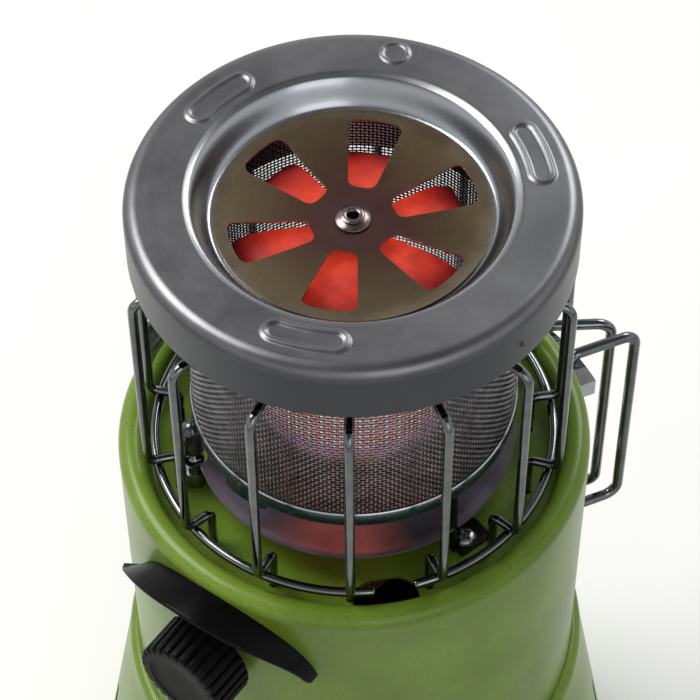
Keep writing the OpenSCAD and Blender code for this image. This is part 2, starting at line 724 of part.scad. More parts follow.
module valve_body() color(brass) {
    difference() {
        union() {
            at_az(knob_az) translate([valve_back, 0, knob_z]) rotate([0, 90, 0])
                cylinder(h = valve_front - valve_back, r = valve_r);
            translate([0, 0, reg_z + reg_block_up]) cylinder(h = knob_z - reg_z - reg_block_up, r = 7.5);
            translate([0, 0, knob_z]) cylinder(h = valve_r + 1, r = 6);
        }
        at_az(knob_az) translate([valve_bore_from, 0, knob_z]) rotate([0, 90, 0]) cylinder(h = 60, r = spindle_r + fit);
        for (s = [-1, 1]) at_az(knob_az) translate([hanger_from + hanger_len / 2, s * (valve_r - 4), knob_z])
            rotate([s * -90, 0, 0]) cylinder(h = 10, r = 2 + fit, $fn = 24);
    }
}

// Hat shaped hanger that carries the valve under the floor
module valve_hanger() color(steel) at_az(knob_az) difference() {
    half = valve_r + seat;
    union() {
        translate([hanger_from, -half - hanger_t - hanger_foot, under_floor_z - hanger_t])
            cube([hanger_len, 2 * (half + hanger_t + hanger_foot), hanger_t]);
        for (s = [-1, 1]) translate([hanger_from, s > 0 ? half : -half - hanger_t, knob_z - 6])
            cube([hanger_len, hanger_t, under_floor_z - knob_z + 6]);
    }
    for (s = [-1, 1]) translate([hanger_from + hanger_len / 2, s * hanger_screw_t, under_floor_z - 4])
        cylinder(h = 6, r = 2 + fit, $fn = 24);
    translate([hanger_from + hanger_len / 2, -40, knob_z]) rotate([-90, 0, 0]) cylinder(h = 80, r = 2 + fit, $fn = 24);
}

module hanger_screws() color(steel) for (s = [-1, 1])
    at_az(knob_az) translate([hanger_from + hanger_len / 2, s * hanger_screw_t, floor_z]) screw(3.8, 2.2, 2, 7);

module valve_bolts() color(steel) for (s = [-1, 1])
    at_az(knob_az) translate([hanger_from + hanger_len / 2, s * (valve_r + seat + hanger_t), knob_z])
        rotate([s * -90, 0, 0]) screw(3.8, 2.2, 2, hanger_t + seat + 3.8);

module packing_nut() color(brass) at_az(knob_az) translate([valve_front, 0, knob_z]) rotate([0, 90, 0]) difference() {
    cylinder(h = nut_len, r = 7.5, $fn = 6);
    translate([0, 0, -1]) cylinder(h = nut_len + 2, r = spindle_r + fit);
}

module gas_jet() color(brass) difference() {
    union() {
        translate([0, 0, knob_z + valve_r + 1]) cylinder(h = 4, r = 4.6, $fn = 6);
        translate([0, 0, knob_z + valve_r + 4]) cylinder(h = jet_top - knob_z - valve_r - 4, r = 2.6);
    }
    translate([0, 0, knob_z + valve_r]) cylinder(h = 20, r = 0.5, $fn = 24);
}

// Places children on the regulator's disc, x = 0 at the distance d behind the block
module at_disc(d) at_az(knob_az) translate([-reg_block_r - d, 0, reg_z]) rotate([0, -90, 0]) children();

// The six holes or shanks that go through the regulator's disc
module disc_pins(from, len, r) for (i = [0:5])
    at_disc(from) rotate([0, 0, i * 60 + 30]) translate([reg_r - 3, 0, 0]) cylinder(h = len, r = r, $fn = 24);

module regulator_body() color(brass) difference() {
    union() {
        translate([0, 0, reg_block_low]) cylinder(h = reg_block_up + reg_block_down, r = reg_block_r);
        at_disc(reg_disc_gap) cylinder(h = reg_disc_t, r = reg_r);
        at_disc(-reg_disc_gap) cylinder(h = 2 * reg_disc_gap + 1, r = 8);
    }
    disc_pins(diaphragm_at - 5, 6, 1 + fit);
    translate([0, 0, reg_block_low - 1]) cylinder(h = reg_block_down + 1, r = reg_port_r);
    ring(seal_r + seal_wire + 0.1, seal_r - seal_wire - 0.1, reg_block_low - 1, 2 * seal_wire + 1.2);
}

module diaphragm() color(black) difference() {
    at_disc(diaphragm_at) cylinder(h = diaphragm_t, r = reg_r);
    disc_pins(diaphragm_at - 1, diaphragm_t + 2, 1 + fit);
}

module regulator_cover() color(brass) difference() {
    union() {
        at_disc(cover_at) cylinder(h = cover_t, r = reg_r);
        at_disc(cover_at + cover_t) cylinder(h = 6, r1 = reg_r - 6, r2 = reg_r - 10);
    }
    disc_pins(cover_at - 1, cover_t + 2, 1 + fit);
}

module regulator_screws() color(steel) {
    disc_pins(diaphragm_at - 4, cover_at + cover_t + 0.1 - diaphragm_at + 4, 1);
    for (i = [0:5]) at_disc(cover_at + cover_t) rotate([0, 0, i * 60 + 30]) translate([reg_r - 3, 0, 0]) screw(1.9, 1.4, 1, 1);
}

module inlet_collar() color(brass) difference() {
    translate([0, 0, inlet_low]) cylinder(h = inlet_len + collar_lap, r = inlet_r + inlet_wall);
    translate([0, 0, inlet_low - 1]) cylinder(h = inlet_len + 2, r = inlet_r);
    translate([0, 0, reg_block_low]) cylinder(h = collar_lap + 1, r = reg_block_r + 0.02);
}

module inlet_seal() color(black) translate([0, 0, reg_block_low + seal_wire + 0.1])
    rotate_extrude() translate([seal_r, 0]) circle(r = seal_wire, $fn = 24);

module valve_spindle() color(brass) at_az(knob_az) translate([valve_bore_from + 2, 0, knob_z]) rotate([0, 90, 0]) {
    cylinder(h = 5, r1 = 0.8, r2 = spindle_r);
    translate([0, 0, 5]) cylinder(h = knob_in + knob_len - 5 - valve_bore_from - 7, r = spindle_r);
}

module control_knob() color(black) at_az(knob_az) translate([knob_in, 0, knob_z]) rotate([0, 90, 0]) difference() {
    union() {
        cylinder(h = knob_len - knob_bevel, r = knob_d / 2 - flute_r);
        translate([0, 0, knob_len - knob_bevel])
            cylinder(h = knob_bevel, r1 = knob_d / 2 - flute_r, r2 = knob_d / 2 - flute_r - knob_bevel);
        for (i = [0:flute_count - 1]) rotate([0, 0, i * 360 / flute_count]) translate([knob_d / 2 - flute_r, 0, 0])
            cylinder(h = knob_len - 1, r = flute_r, $fn = 24);
    }
    translate([0, 0, -1]) cylinder(h = knob_len - 2.8, r = spindle_r + 0.02);
}

// One handle loop in its own frame: the pivot is the z axis and the arms point along +x
module grip_loop() {
    far = grip_arm - grip_bend;
    pin_bend = 3;
    rod([0, 0, grip_z - pin_bend], [0, 0, grip_z - pin_bend - pin_len + 1], grip_r);
    bend([pin_bend, grip_z - pin_bend], pin_bend, 90, 90, grip_r);
    rod([pin_bend, 0, grip_z], [far, 0, grip_z], grip_r);
    bend([far, grip_z - grip_bend], grip_bend, 0, 90, grip_r);
    rod([grip_arm, 0, grip_z - grip_bend], [grip_arm, 0, grip_low_z + grip_bend], grip_r);
    bend([far, grip_low_z + grip_bend], grip_bend, 270, 90, grip_r);
    rod([pin_bend, 0, grip_low_z], [far, 0, grip_low_z], grip_r);
    bend([pin_bend, grip_low_z + pin_bend], pin_bend, 180, 90, grip_r);
    rod([0, 0, grip_low_z + pin_bend], [0, 0, grip_low_z + pin_bend + pin_len - 1], grip_r);
}

module placed_loop(a, turn) rotate([0, 0, a]) translate([pivot_r, 0, 0]) rotate([0, 0, turn - a]) grip_loop();

module handle_front() color(steel) placed_loop(pivot_a, grip_turn[0]);

module handle_rear() color(steel) placed_loop(pivot_a + pivot_gap_a, grip_turn[1]);

base_housing();
ballast_ring();
rubber_feet();
drum_shell();
knob_hood();
hood_clips();
hinge_lugs();
lug_rivets();
guard_plate();
guard_hoop();
guard_wires();
guard_top_ring();
cap();
cap_disc();
centre_eyelet();
eyelet_washer();
radiant_dome();
mesh_screen();
mesh_band();
burner_plate();
reflector_pan();
burner_cup();
tile_gasket();
ceramic_tile();
mixing_tube();
tube_flange();
flange_screws();
support_brackets();
bracket_screws();
sensor_nut();
sensor_stem();
sensor_dome();
ignition_lead();
piezo_unit();
valve_body();
valve_hanger();
hanger_screws();
valve_bolts();
packing_nut();
gas_jet();
regulator_body();
diaphragm();
regulator_cover();
regulator_screws();
inlet_collar();
inlet_seal();
valve_spindle();
control_knob();
handle_front();
handle_rear();
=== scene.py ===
import bpy
import bmesh
import json
from math import asin, atan2, cos, degrees, hypot, pi, radians, sin, sqrt, tan
from mathutils import Matrix, Vector


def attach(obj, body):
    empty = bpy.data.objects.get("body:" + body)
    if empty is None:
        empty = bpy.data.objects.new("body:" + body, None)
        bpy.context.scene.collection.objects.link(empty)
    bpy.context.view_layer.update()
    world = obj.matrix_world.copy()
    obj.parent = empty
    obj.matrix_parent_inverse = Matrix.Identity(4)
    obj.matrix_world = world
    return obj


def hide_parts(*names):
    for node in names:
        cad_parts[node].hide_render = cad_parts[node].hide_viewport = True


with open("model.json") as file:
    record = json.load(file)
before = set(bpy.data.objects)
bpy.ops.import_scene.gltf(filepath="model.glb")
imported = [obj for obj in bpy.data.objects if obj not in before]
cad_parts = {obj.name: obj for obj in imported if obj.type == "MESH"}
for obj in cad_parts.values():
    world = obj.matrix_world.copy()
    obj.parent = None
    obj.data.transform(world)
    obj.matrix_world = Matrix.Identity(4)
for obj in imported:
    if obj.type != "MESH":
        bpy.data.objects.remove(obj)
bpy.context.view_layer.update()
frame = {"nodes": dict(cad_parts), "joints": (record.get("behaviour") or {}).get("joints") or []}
mm = 0.001
nodes = frame["nodes"]
joints = {joint["name"]: joint for joint in frame["joints"]}
print("frame loaded:", len(nodes), "nodes")


# geometry helpers: sizes in mm, angles in degrees, az counted to the right from the front

def around(az, r, z):
    a = radians(az)
    return Vector((r * sin(a), -r * cos(a), z))


def turned(az, x, y, z):                 # x points out of the heater, y runs along the rim
    b = radians(az - 90)
    return Vector((x * cos(b) - y * sin(b), x * sin(b) + y * cos(b), z))


def arc(cx, cz, r, start, stop, steps):
    angles = [radians(start + (stop - start) * i / steps) for i in range(steps + 1)]
    return [(cx + r * cos(a), cz + r * sin(a)) for a in angles]


def offsetLine(line, t):
    out = []
    for i in range(len(line)):
        a, b = line[max(i - 1, 0)], line[min(i + 1, len(line) - 1)]
        dx, dz = b[0] - a[0], b[1] - a[1]
        d = hypot(dx, dz)
        out.append((line[i][0] - dz / d * t, line[i][1] + dx / d * t))
    return out


def sheetLoop(line, t):
    return line + offsetLine(line, t)[::-1]


def ringBar(inR, outR, low, high):
    return [(inR, low), (outR, low), (outR, high), (inR, high)]


def band(a, b, n):                       # quads between two rings of n points that start at a and b
    return [(a + k, a + (k + 1) % n, b + (k + 1) % n, b + k) for k in range(n)]


def revolved(steps, n):                  # quads of an outline of n points carried all the way round
    faces = []
    for k in range(steps):
        a, b = k * n, ((k + 1) % steps) * n
        faces += [(a + i, b + i, b + (i + 1) % n, a + (i + 1) % n) for i in range(n)]
    return faces


def lathe(loop, steps=256, centre=(0.0, 0.0)):
    verts = []
    for k in range(steps):
        a = radians(360 * k / steps)
        verts += [(centre[0] + r * cos(a), centre[1] + r * sin(a), z) for r, z in loop]
    return verts, revolved(steps, len(loop))


def sandwich(near, far):                 # two equal outlines joined into one block
    n = len(near)
    return near + far, band(0, n, n) + [tuple(range(n))[::-1], tuple(range(n, 2 * n))]


def prism(outline, z0, z1, az):
    return sandwich(*[[turned(az, x, y, z) for x, y in outline] for z in (z0, z1)])


def sheet(outer, inner):                 # two grids of points, outer by inner, and the edge between them
    count, faces = outer * inner, []
    for base in (0, count):
        corners = [base + i * inner + j for i in range(outer - 1) for j in range(inner - 1)]
        faces += [(a, a + 1, a + inner + 1, a + inner) for a in corners]
    edge = list(range(inner)) + [i * inner + inner - 1 for i in range(1, outer)]
    edge += [(outer - 1) * inner + j for j in range(inner - 2, -1, -1)]
    edge += [i * inner for i in range(outer - 2, 0, -1)]
    return faces + [(a, b, b + count, a + count) for a, b in zip(edge, edge[1:] + edge[:1])]


def tube(path, r, sides=16, loop=False, chamfer=0.25, endSize=0.8):
    n, ways = len(path), []
    for i in range(n):
        a = path[i - 1] if (i or loop) else path[i]
        b = path[(i + 1) % n] if (i < n - 1 or loop) else path[i]
        ways.append((b - a).normalized())
    line, radii = list(path), [r] * n
    if not loop:                         # blunt ends with a small chamfer
        first, last = path[0] + ways[0] * r * chamfer, path[-1] - ways[-1] * r * chamfer
        line = [path[0], first] + line[1:-1] + [last, path[-1]]
        ways = [ways[0]] + ways + [ways[-1]]
        radii = [r * endSize] + radii + [r * endSize]
    up, verts, faces = ways[0].orthogonal().normalized(), [], []
    for p, t, q in zip(line, ways, radii):
        up = (up - t * up.dot(t)).normalized()
        side = t.cross(up)
        angles = [2 * pi * k / sides for k in range(sides)]
        verts += [p + (up * cos(a) + side * sin(a)) * q for a in angles]
    count = len(line)
    for i in range(count if loop else count - 1):
        faces += band(i * sides, ((i + 1) % count) * sides, sides)
    if not loop:
        faces.append(tuple(range(sides))[::-1])
        faces.append(tuple(range((count - 1) * sides, count * sides)))
    return verts, faces


def rod(a, b, r, sides=24):
    return tube([a, (a + b) / 2, b], r, sides)


def bend(a, b, c, r, steps):             # the corner at b, rounded by r
    u, v = (a - b).normalized(), (c - b).normalized()
    half = u.angle(v) / 2
    mid = b + (u + v).normalized() * (r / sin(half))
    s, e = b + u * (r / tan(half)) - mid, b + v * (r / tan(half)) - mid
    axis = s.cross(e).normalized()
    return [mid + Matrix.Rotation(s.angle(e) * k / steps, 3, axis) @ s for k in range(steps + 1)]


def bentPath(points, radii, steps):
    out = [points[0]]
    for i, r in enumerate(radii):
        out += bend(*points[i:i + 3], r, steps)
    return out + [points[-1]]


def filleted(corners, radii, steps):
    out, n = [], len(corners)
    for i in range(n):
        a, b, c = (Vector(corners[(i + d) % n]).to_3d() for d in (-1, 0, 1))
        out += [p.to_2d() for p in bend(a, b, c, radii[i], steps)]
    return out


def joined(*parts):
    verts, faces = [], []
    for v, f in parts:
        start = len(verts)
        verts += [tuple(p) for p in v]
        faces += [tuple(i + start for i in face) for face in f]
    return verts, faces


def solid(name, verts, faces, weld=False):
    data = bpy.data.meshes.new(name)
    data.from_pydata([(v[0] * mm, v[1] * mm, v[2] * mm) for v in verts], [], faces)
    work = bmesh.new()
    work.from_mesh(data)
    if weld:
        bmesh.ops.remove_doubles(work, verts=work.verts, dist=1e-6)
    bmesh.ops.recalc_face_normals(work, faces=work.faces)
    work.to_mesh(data)
    work.free()
    obj = bpy.data.objects.new(name, data)
    bpy.context.scene.collection.objects.link(obj)
    return obj


def applied(obj):
    view = bpy.context.evaluated_depsgraph_get()
    data = bpy.data.meshes.new_from_object(obj.evaluated_get(view))
    obj.modifiers.clear()
    old, obj.data = obj.data, data
    bpy.data.meshes.remove(old)


def cutBy(obj, verts, faces):
    cutter = solid("cutter", verts, faces)
    cut = obj.modifiers.new("cut", "BOOLEAN")
    cut.operation, cut.solver, cut.object = "DIFFERENCE", "EXACT", cutter
    applied(obj)
    bpy.data.objects.remove(cutter)


def bevelled(obj, width):
    edge = obj.modifiers.new("edge", "BEVEL")
    edge.width, edge.segments, edge.limit_method, edge.angle_limit = width * mm, 2, "ANGLE", radians(40)
    return edge


def dress(obj, look, body="heater", stands=(), sharp=38, bevel=0.0, trim=None):
    data = obj.data
    data.materials.clear()
    data.materials.append(look)
    data.shade_smooth()
    data.set_sharp_from_angle(angle=radians(sharp))
    if bevel:
        edge = bevelled(obj, bevel)
        edge.harden_normals = True
        if trim:                         # bare metal where the sheet was cut
            data.materials.append(trim)
            edge.material = 1
        applied(obj)
    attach(obj, body)
    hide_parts(*stands)


def piece(name, shape, look, body="heater", stands=(), sharp=38, weld=False, bevel=0.0):
    dress(solid(name, *shape, weld), look, body, stands, sharp, bevel)


# helpers for the finishes

def linear(c):
    return c / 255 / 12.92 if c <= 10 else ((c / 255 + 0.055) / 1.055) ** 2.4


def srgb(*tint):
    return tuple(linear(c) for c in tint) + (1.0,)


def shade(c):
    return (c, c, c, 1.0) if isinstance(c, (int, float)) else tuple(c)[:3] + (1.0,)


def setOrLink(tree, socket, value):
    if isinstance(value, bpy.types.NodeSocket):
        tree.links.new(value, socket)
    else:
        socket.default_value = value


def add(tree, kind, inputs=None, **settings):
    made = tree.nodes.new("ShaderNode" + kind)
    for key, value in settings.items():
        setattr(made, key, value)
    for key, value in (inputs or {}).items():
        setOrLink(tree, made.inputs[key], value)
    return made


def plug(shader, socket, value):
    shader.id_data.links.new(value, shader.inputs[socket])


def ramp(tree, value, stops):
    made = add(tree, "ValToRGB", {"Fac": value})
    bar = made.color_ramp
    while len(bar.elements) > 1:
        bar.elements.remove(bar.elements[-1])
    bar.elements[0].position, bar.elements[0].color = stops[0][0], shade(stops[0][1])
    for spot, colour in stops[1:]:
        bar.elements.new(spot).color = shade(colour)
    return made.outputs["Color"]


def twoTone(tree, cloud, dark, light):
    return ramp(tree, cloud, [(0.3, srgb(*dark)), (0.7, srgb(*light))])


def spread(tree, value, low, high, toLow, toHigh):
    return add(tree, "MapRange", {"Value": value, "From Min": low, "From Max": high,
                                  "To Min": toLow, "To Max": toHigh}).outputs["Result"]


def noise(tree, place, scale, detail=3.0, rough=0.5):
    made = add(tree, "TexNoise", {"Vector": place, "Scale": scale, "Detail": detail, "Roughness": rough})
    return made.outputs["Fac"]


def mathNode(tree, what, a, b):
    return add(tree, "Math", {0: a, 1: b}, operation=what).outputs[0]


def vectorNode(tree, what, inputs, out="Vector"):
    return add(tree, "VectorMath", inputs, operation=what).outputs[out]


def weighed(tree, a, share, b):          # a share of one pattern, the rest of another
    rest = mathNode(tree, "MULTIPLY", b, 1 - share)
    return mathNode(tree, "ADD", mathNode(tree, "MULTIPLY", a, share), rest)


def wavering(tree, value, cloud, reach):
    swing = mathNode(tree, "MULTIPLY", mathNode(tree, "SUBTRACT", cloud, 0.5), reach)
    return mathNode(tree, "ADD", value, swing)


def mixed(tree, how, amount, a, b):
    made = add(tree, "Mix", {"Factor": amount}, data_type="RGBA", blend_type=how)
    for spot, value in ((6, a), (7, b)):
        setOrLink(tree, made.inputs[spot], value if isinstance(value, bpy.types.NodeSocket) else shade(value))
    return made.outputs[2]


def bare(name, **sockets):
    look = bpy.data.materials.new(name)
    look.use_nodes = True
    tree = look.node_tree
    shader = tree.nodes["Principled BSDF"]
    for key, value in sockets.items():
        shader.inputs[key.replace("_", " ")].default_value = value
    return look, tree, shader, add(tree, "TexCoord").outputs["Object"]


def flattened(tree, place):
    return vectorNode(tree, "MULTIPLY", {0: place, 1: (1.0, 1.0, 0.0)})


def axisRadius(tree, place):
    return vectorNode(tree, "LENGTH", {0: flattened(tree, place)}, "Value")


def bumped(tree, shader, height, strength, distance=0.0002):
    bump = add(tree, "Bump", {"Height": height, "Strength": strength, "Distance": distance})
    plug(shader, "Normal", bump.outputs["Normal"])


# plain finish: colour drifts between two tones, with a grain and an uneven gloss
def finish(name, dark, light, rough, drift, grain, depth, **sockets):
    look, tree, shader, place = bare(name, **sockets)
    cloud = noise(tree, place, drift, 4.0, 0.6)
    plug(shader, "Base Color", twoTone(tree, cloud, dark, light))
    fine = noise(tree, place, grain, 2.0, 0.6)
    plug(shader, "Roughness", spread(tree, weighed(tree, cloud, 0.6, fine), 0.3, 0.7, *rough))
    bumped(tree, shader, fine, depth)
    return look


def steel(name, *tones, **sockets):
    return finish(name, *tones, Metallic=1.0, **sockets)


# name, darker and lighter tone, gloss from and to, size of the drift and of the grain, depth of the grain
wireChrome = steel("chromed wire", (92, 96, 96), (116, 120, 120), (0.06, 0.14), 120.0, 1600.0, 0.06)
plateChrome = steel("polished plate", (180, 184, 184), (204, 206, 206), (0.06, 0.14), 60.0, 900.0, 0.05)
edgeSteel = steel("bright pressed steel", (150, 152, 158), (178, 180, 186), (0.16, 0.28), 200.0, 1600.0, 0.08)
burnerSteel = steel("scaled burner steel", (84, 86, 88), (120, 118, 116), (0.38, 0.55), 70.0, 900.0, 0.2)
zincSteel = steel("zinc plated steel", (168, 170, 172), (198, 198, 196), (0.2, 0.36), 150.0, 1300.0, 0.12)
nutSteel = steel("grey plated nut", (120, 126, 128), (150, 156, 158), (0.28, 0.42), 200.0, 1500.0, 0.12)
eyeletSteel = steel("heated eyelet steel", (92, 80, 78), (132, 120, 118), (0.2, 0.34), 260.0, 1700.0, 0.1)
valveBrass = steel("machined brass", (190, 152, 78), (216, 180, 104), (0.2, 0.36), 90.0, 1300.0, 0.12)
collarSteel = finish("dark burner collar", (22, 40, 42), (36, 56, 58), (0.20, 0.34), 90.0, 900.0, 0.1,
                     Metallic=0.4, Coat_Weight=0.4, Coat_Roughness=0.1)
blackBracket = finish("black bracket paint", (16, 16, 18), (28, 27, 30), (0.26, 0.42), 120.0, 1200.0, 0.25,
                      Specular_IOR_Level=0.2)
hoodGloss = finish("glossy black hood", (7, 7, 8), (12, 12, 13), (0.20, 0.28), 50.0, 1100.0, 0.08,
                   Specular_IOR_Level=0.07)
knobBlack = finish("matte black knob", (7, 7, 8), (13, 13, 14), (0.40, 0.55), 90.0, 1500.0, 0.35,
                   Specular_IOR_Level=0.09)
domeGlaze = finish("dark glazed dome", (16, 17, 20), (34, 35, 40), (0.08, 0.18), 160.0, 1300.0, 0.08,
                   Coat_Weight=0.6)
gasketFibre = finish("mineral fibre", (196, 186, 160), (224, 214, 190), (0.85, 0.98), 300.0, 2400.0, 0.9)
ballastPaint = finish("black ballast paint", (24, 24, 25), (40, 40, 42), (0.45, 0.65), 80.0, 700.0, 0.6)
footRubber = finish("foot rubber", (22, 22, 23), (36, 36, 37), (0.7, 0.88), 120.0, 1200.0, 0.4)
leadRubber = finish("lead rubber", (26, 24, 24), (40, 38, 38), (0.5, 0.7), 200.0, 1500.0, 0.3)
piezoBlack = finish("moulded piezo case", (20, 20, 22), (32, 32, 35), (0.4, 0.55), 100.0, 1200.0, 0.3)
print("plain finishes ready")

# camera
view = {"at": (0.0, -593.5, 1070.3), "aim": (0.0, 0.0, 275.0), "pitch": 1.7512, "yaw": -0.0787,
        "roll": -0.3464, "focal": 2685.38, "frame": 700, "sensor": 36.0}
eye = Vector(view["at"])
ahead = (Vector(view["aim"]) - eye).normalized()
across = Vector((1.0, 0.0, 0.0))
above = across.cross(ahead)
pitch, yaw, roll = (radians(view[k]) for k in ("pitch", "yaw", "roll"))
ahead, above = ahead * cos(pitch) + above * sin(pitch), above * cos(pitch) - ahead * sin(pitch)
ahead, across = ahead * cos(yaw) + across * sin(yaw), across * cos(yaw) - ahead * sin(yaw)
across, above = across * cos(roll) + above * sin(roll), above * cos(roll) - across * sin(roll)
lens = bpy.data.cameras.new("camera")
lens.sensor_width = view["sensor"]
lens.lens = view["focal"] / view["frame"] * view["sensor"]
lens.clip_start, lens.clip_end = 0.05, 30.0
camera = bpy.data.objects.new("camera", lens)
bpy.context.scene.collection.objects.link(camera)
camera.matrix_world = Matrix.Translation(eye * mm) @ Matrix((across, above, -ahead)).transposed().to_4x4()
bpy.context.scene.camera = camera
print("camera placed")

# drum with its rolled lip and sunk floor, drilled for the wires, the sensor, the knob, the hood and the lugs
drum = {"r": 87.0, "low": 144.0, "wall": 1.0, "lipZ": 275.0, "roll": 5.0, "floorZ": 264.0, "floorBend": 3.0,
        "centreHole": 15.0, "floorCut": 4.0, "airAz": 9.5, "airR": 8.6, "airHalf": 3.6, "airAt": 67.0,
        "wireHole": 1.85, "wireAt": 66.0, "sensorHole": 4.2, "knobHole": 6.0, "cutFrom": 80.0, "cutTo": 95.0,
        "rivetAz": (116.7, 136.7), "rivetZ": (157.2, 247.8), "rivetHole": 1.6, "pinZ": 234.7, "pinR": 40.0,
        "pinAngles": (27, 63, 117, 153), "pinHole": 1.0}
enamel = {"dark": (91, 115, 32), "light": (112, 139, 43), "fleck": (68, 90, 28)}
floorZ = drum["floorZ"]
knobAxis, knobZ = joints["knob_turn"]["axis"], joints["knob_turn"]["pos_m"][2] / mm
knobAz = round(degrees(atan2(knobAxis[0], -knobAxis[1])), 2)
wireAz = [-1.3 + 24.9 * k for k in range(-6, 8)]
sensorAt = around(-77.5, 60.0, 0)


def enamelFinish(name):
    look, tree, shader, place = bare(name, Coat_Weight=0.16, Coat_Roughness=0.14, Specular_IOR_Level=0.22)
    cloud = noise(tree, place, 26.0, 3.0)
    tone = ramp(tree, cloud, [(0.3, srgb(*enamel["dark"])), (0.72, srgb(*enamel["light"]))])
    dust = noise(tree, place, 1150.0, 2.0, 0.7)
    speck = ramp(tree, dust, [(0.32, 1.0), (0.43, 0.0)])          # fine darker flecks in the paint
    tone = mixed(tree, "MIX", mathNode(tree, "MULTIPLY", speck, 0.75), tone, srgb(*enamel["fleck"]))
    plug(shader, "Base Color", tone)
    plug(shader, "Roughness", spread(tree, dust, 0.3, 0.7, 0.30, 0.42))
    bumped(tree, shader, weighed(tree, noise(tree, place, 420.0, 2.0), 0.7, dust), 0.10)
    return look


def drill(at, low, high, r, sides=24):
    return rod(Vector((at.x, at.y, low)), Vector((at.x, at.y, high)), r, sides)


def floorHole(at, r, sides=24):
    return drill(at, floorZ - drum["floorCut"], floorZ + drum["floorCut"], r, sides)


def wallHole(az, z, r, sides=24):
    return rod(turned(az, drum["cutFrom"], 0, z), turned(az, drum["cutTo"], 0, z), r, sides)


# one pin of the hood: its place along the rim, its height and where it meets the drum
def hoodPin(angle):
    y, z = drum["pinR"] * cos(radians(angle)), drum["pinZ"] + drum["pinR"] * sin(radians(angle))
    return y, z, sqrt(drum["r"] ** 2 - y * y)


wellR, lipLow = drum["r"] - 2 * drum["roll"], drum["lipZ"] - 1.0
drumLine = [(drum["r"], z) for z in (drum["low"], drum["low"] + 0.5, 200.0, 240.0, lipLow)]
drumLine += arc(drum["r"] - drum["roll"], drum["lipZ"], drum["roll"], 0, 180, 26)
drumLine += [(wellR, lipLow), (wellR, floorZ + 2 * drum["floorBend"])]
drumLine += arc(wellR - drum["floorBend"], floorZ + drum["floorBend"], drum["floorBend"], 0, -90, 8)
drumLine += [(r, floorZ) for r in (66.0, 50.0, 30.0, drum["centreHole"])]
drumObj = solid("drum", *lathe(sheetLoop(drumLine, drum["wall"]), 288))
airRim = []
for a in range(0, 360, 10):
    shift = drum["airHalf"] if a < 180 else -drum["airHalf"]
    airRim.append((drum["airAt"] + drum["airR"] * cos(radians(a)), drum["airR"] * sin(radians(a)) + shift))
sideHoles = [wallHole(knobAz, knobZ, drum["knobHole"], 40)]
sideHoles += [wallHole(az, z, drum["rivetHole"]) for az in drum["rivetAz"] for z in drum["rivetZ"]]
for y, z, seat in map(hoodPin, drum["pinAngles"]):
    sideHoles.append(rod(turned(knobAz, seat - 8, y, z), turned(knobAz, 90, y, z), drum["pinHole"]))
cutBy(drumObj, *prism(airRim, floorZ - drum["floorCut"], floorZ + drum["floorCut"], drum["airAz"]))
cutBy(drumObj, *joined(*[floorHole(around(az, drum["wireAt"], 0), drum["wireHole"]) for az in wireAz]))
cutBy(drumObj, *joined(floorHole(sensorAt, drum["sensorHole"], 32), *sideHoles))
print("drum faces", len(drumObj.data.polygons))
dress(drumObj, enamelFinish("green drum enamel"), stands=("drum_shell",), sharp=32)
print("drum made")

# flared housing with its vent slots, and the collar that the drum is tucked into
housing = {"low": 6.0, "wall": 1.2, "topR": 91.2, "slope": 0.175, "bendZ": 146.4, "bend": 3.6,
           "shoulder": 152.0, "vents": 20, "ventW": 4.5, "ventH": 26.0, "ventZ": 85.0, "cutFrom": 80.0,
           "cutTo": 125.0, "collarWall": 1.1, "collarTop": 151.6, "seam": 0.1}


def flareR(z):
    return housing["topR"] + housing["slope"] * (housing["bendZ"] - z)


low, bendR, shoulder = housing["low"], housing["bend"], housing["shoulder"]
hemR, seamR = flareR(low), drum["r"] + housing["seam"]
housingLine = [(hemR - 3.0, low - 1.0), (hemR - 1.2, low - 0.8)]
housingLine += [(flareR(z), z) for z in (low, low + 0.6, 30.0, 55.0, 70.0, 100.0, 115.0, 130.0, 140.0)]
housingLine += [(housing["topR"], housing["bendZ"])]
housingLine += arc(housing["topR"] - bendR, shoulder - bendR, bendR, 10, 90, 12) + [(seamR, shoulder)]
housingObj = solid("base_flare", *lathe(sheetLoop(housingLine, housing["wall"]), 320))
ventR = housing["ventW"] / 2
slotRim = []
for t in range(0, 360, 15):
    half = housing["ventH"] / 2 - ventR
    slotRim.append((ventR * cos(radians(t)), (half if t <= 180 else -half) + ventR * sin(radians(t))))
slots = []
for i in range(housing["vents"]):
    az = 90 + i * 360 / housing["vents"]
    slots.append(sandwich(*[[turned(az, x, y, housing["ventZ"] + z) for y, z in slotRim]
                            for x in (housing["cutFrom"], housing["cutTo"])]))
cutBy(housingObj, *joined(*slots))
housingEnamel = enamelFinish("green housing enamel")
dress(housingObj, housingEnamel, stands=("base_housing",), sharp=32)
tuck = ringBar(seamR, seamR + housing["collarWall"], drum["low"], housing["collarTop"])
piece("housing_collar", lathe(tuck, 192), housingEnamel, stands=("base_housing",))
print("housing made")

# cap: pressed ring with a rounded edge, pressed beads, a blank round boss and a polished funnel
cap = {"r": 76.5, "top": 407.5, "skirt": 385.5, "edge": 5.0, "dish": 55.5, "throat": 47.6, "lap": 45.0,
       "shelf": 396.9, "wall": 0.8, "steps": 720, "rimSteps": 32, "funnelSteps": 24,
       "beadAz": (106.0, -14.0, -134.0), "beadAt": 63.5, "beadLong": 30.0, "beadWide": 10.5, "rib": 1.4,
       "ribH": 0.75, "bossAz": 167.1, "bossAt": 66.0, "bossR": 4.6, "bossRib": 1.0, "bossH": 0.8,
       "tones": ((98, 98, 101), (120, 120, 123)), "skirtTone": (70, 71, 74), "funnelTone": (150, 153, 157)}
pip = {"az": 45.3, "z": 393.8, "r": 1.7, "high": 0.95, "sunk": 0.1, "rows": 5, "cols": 20}


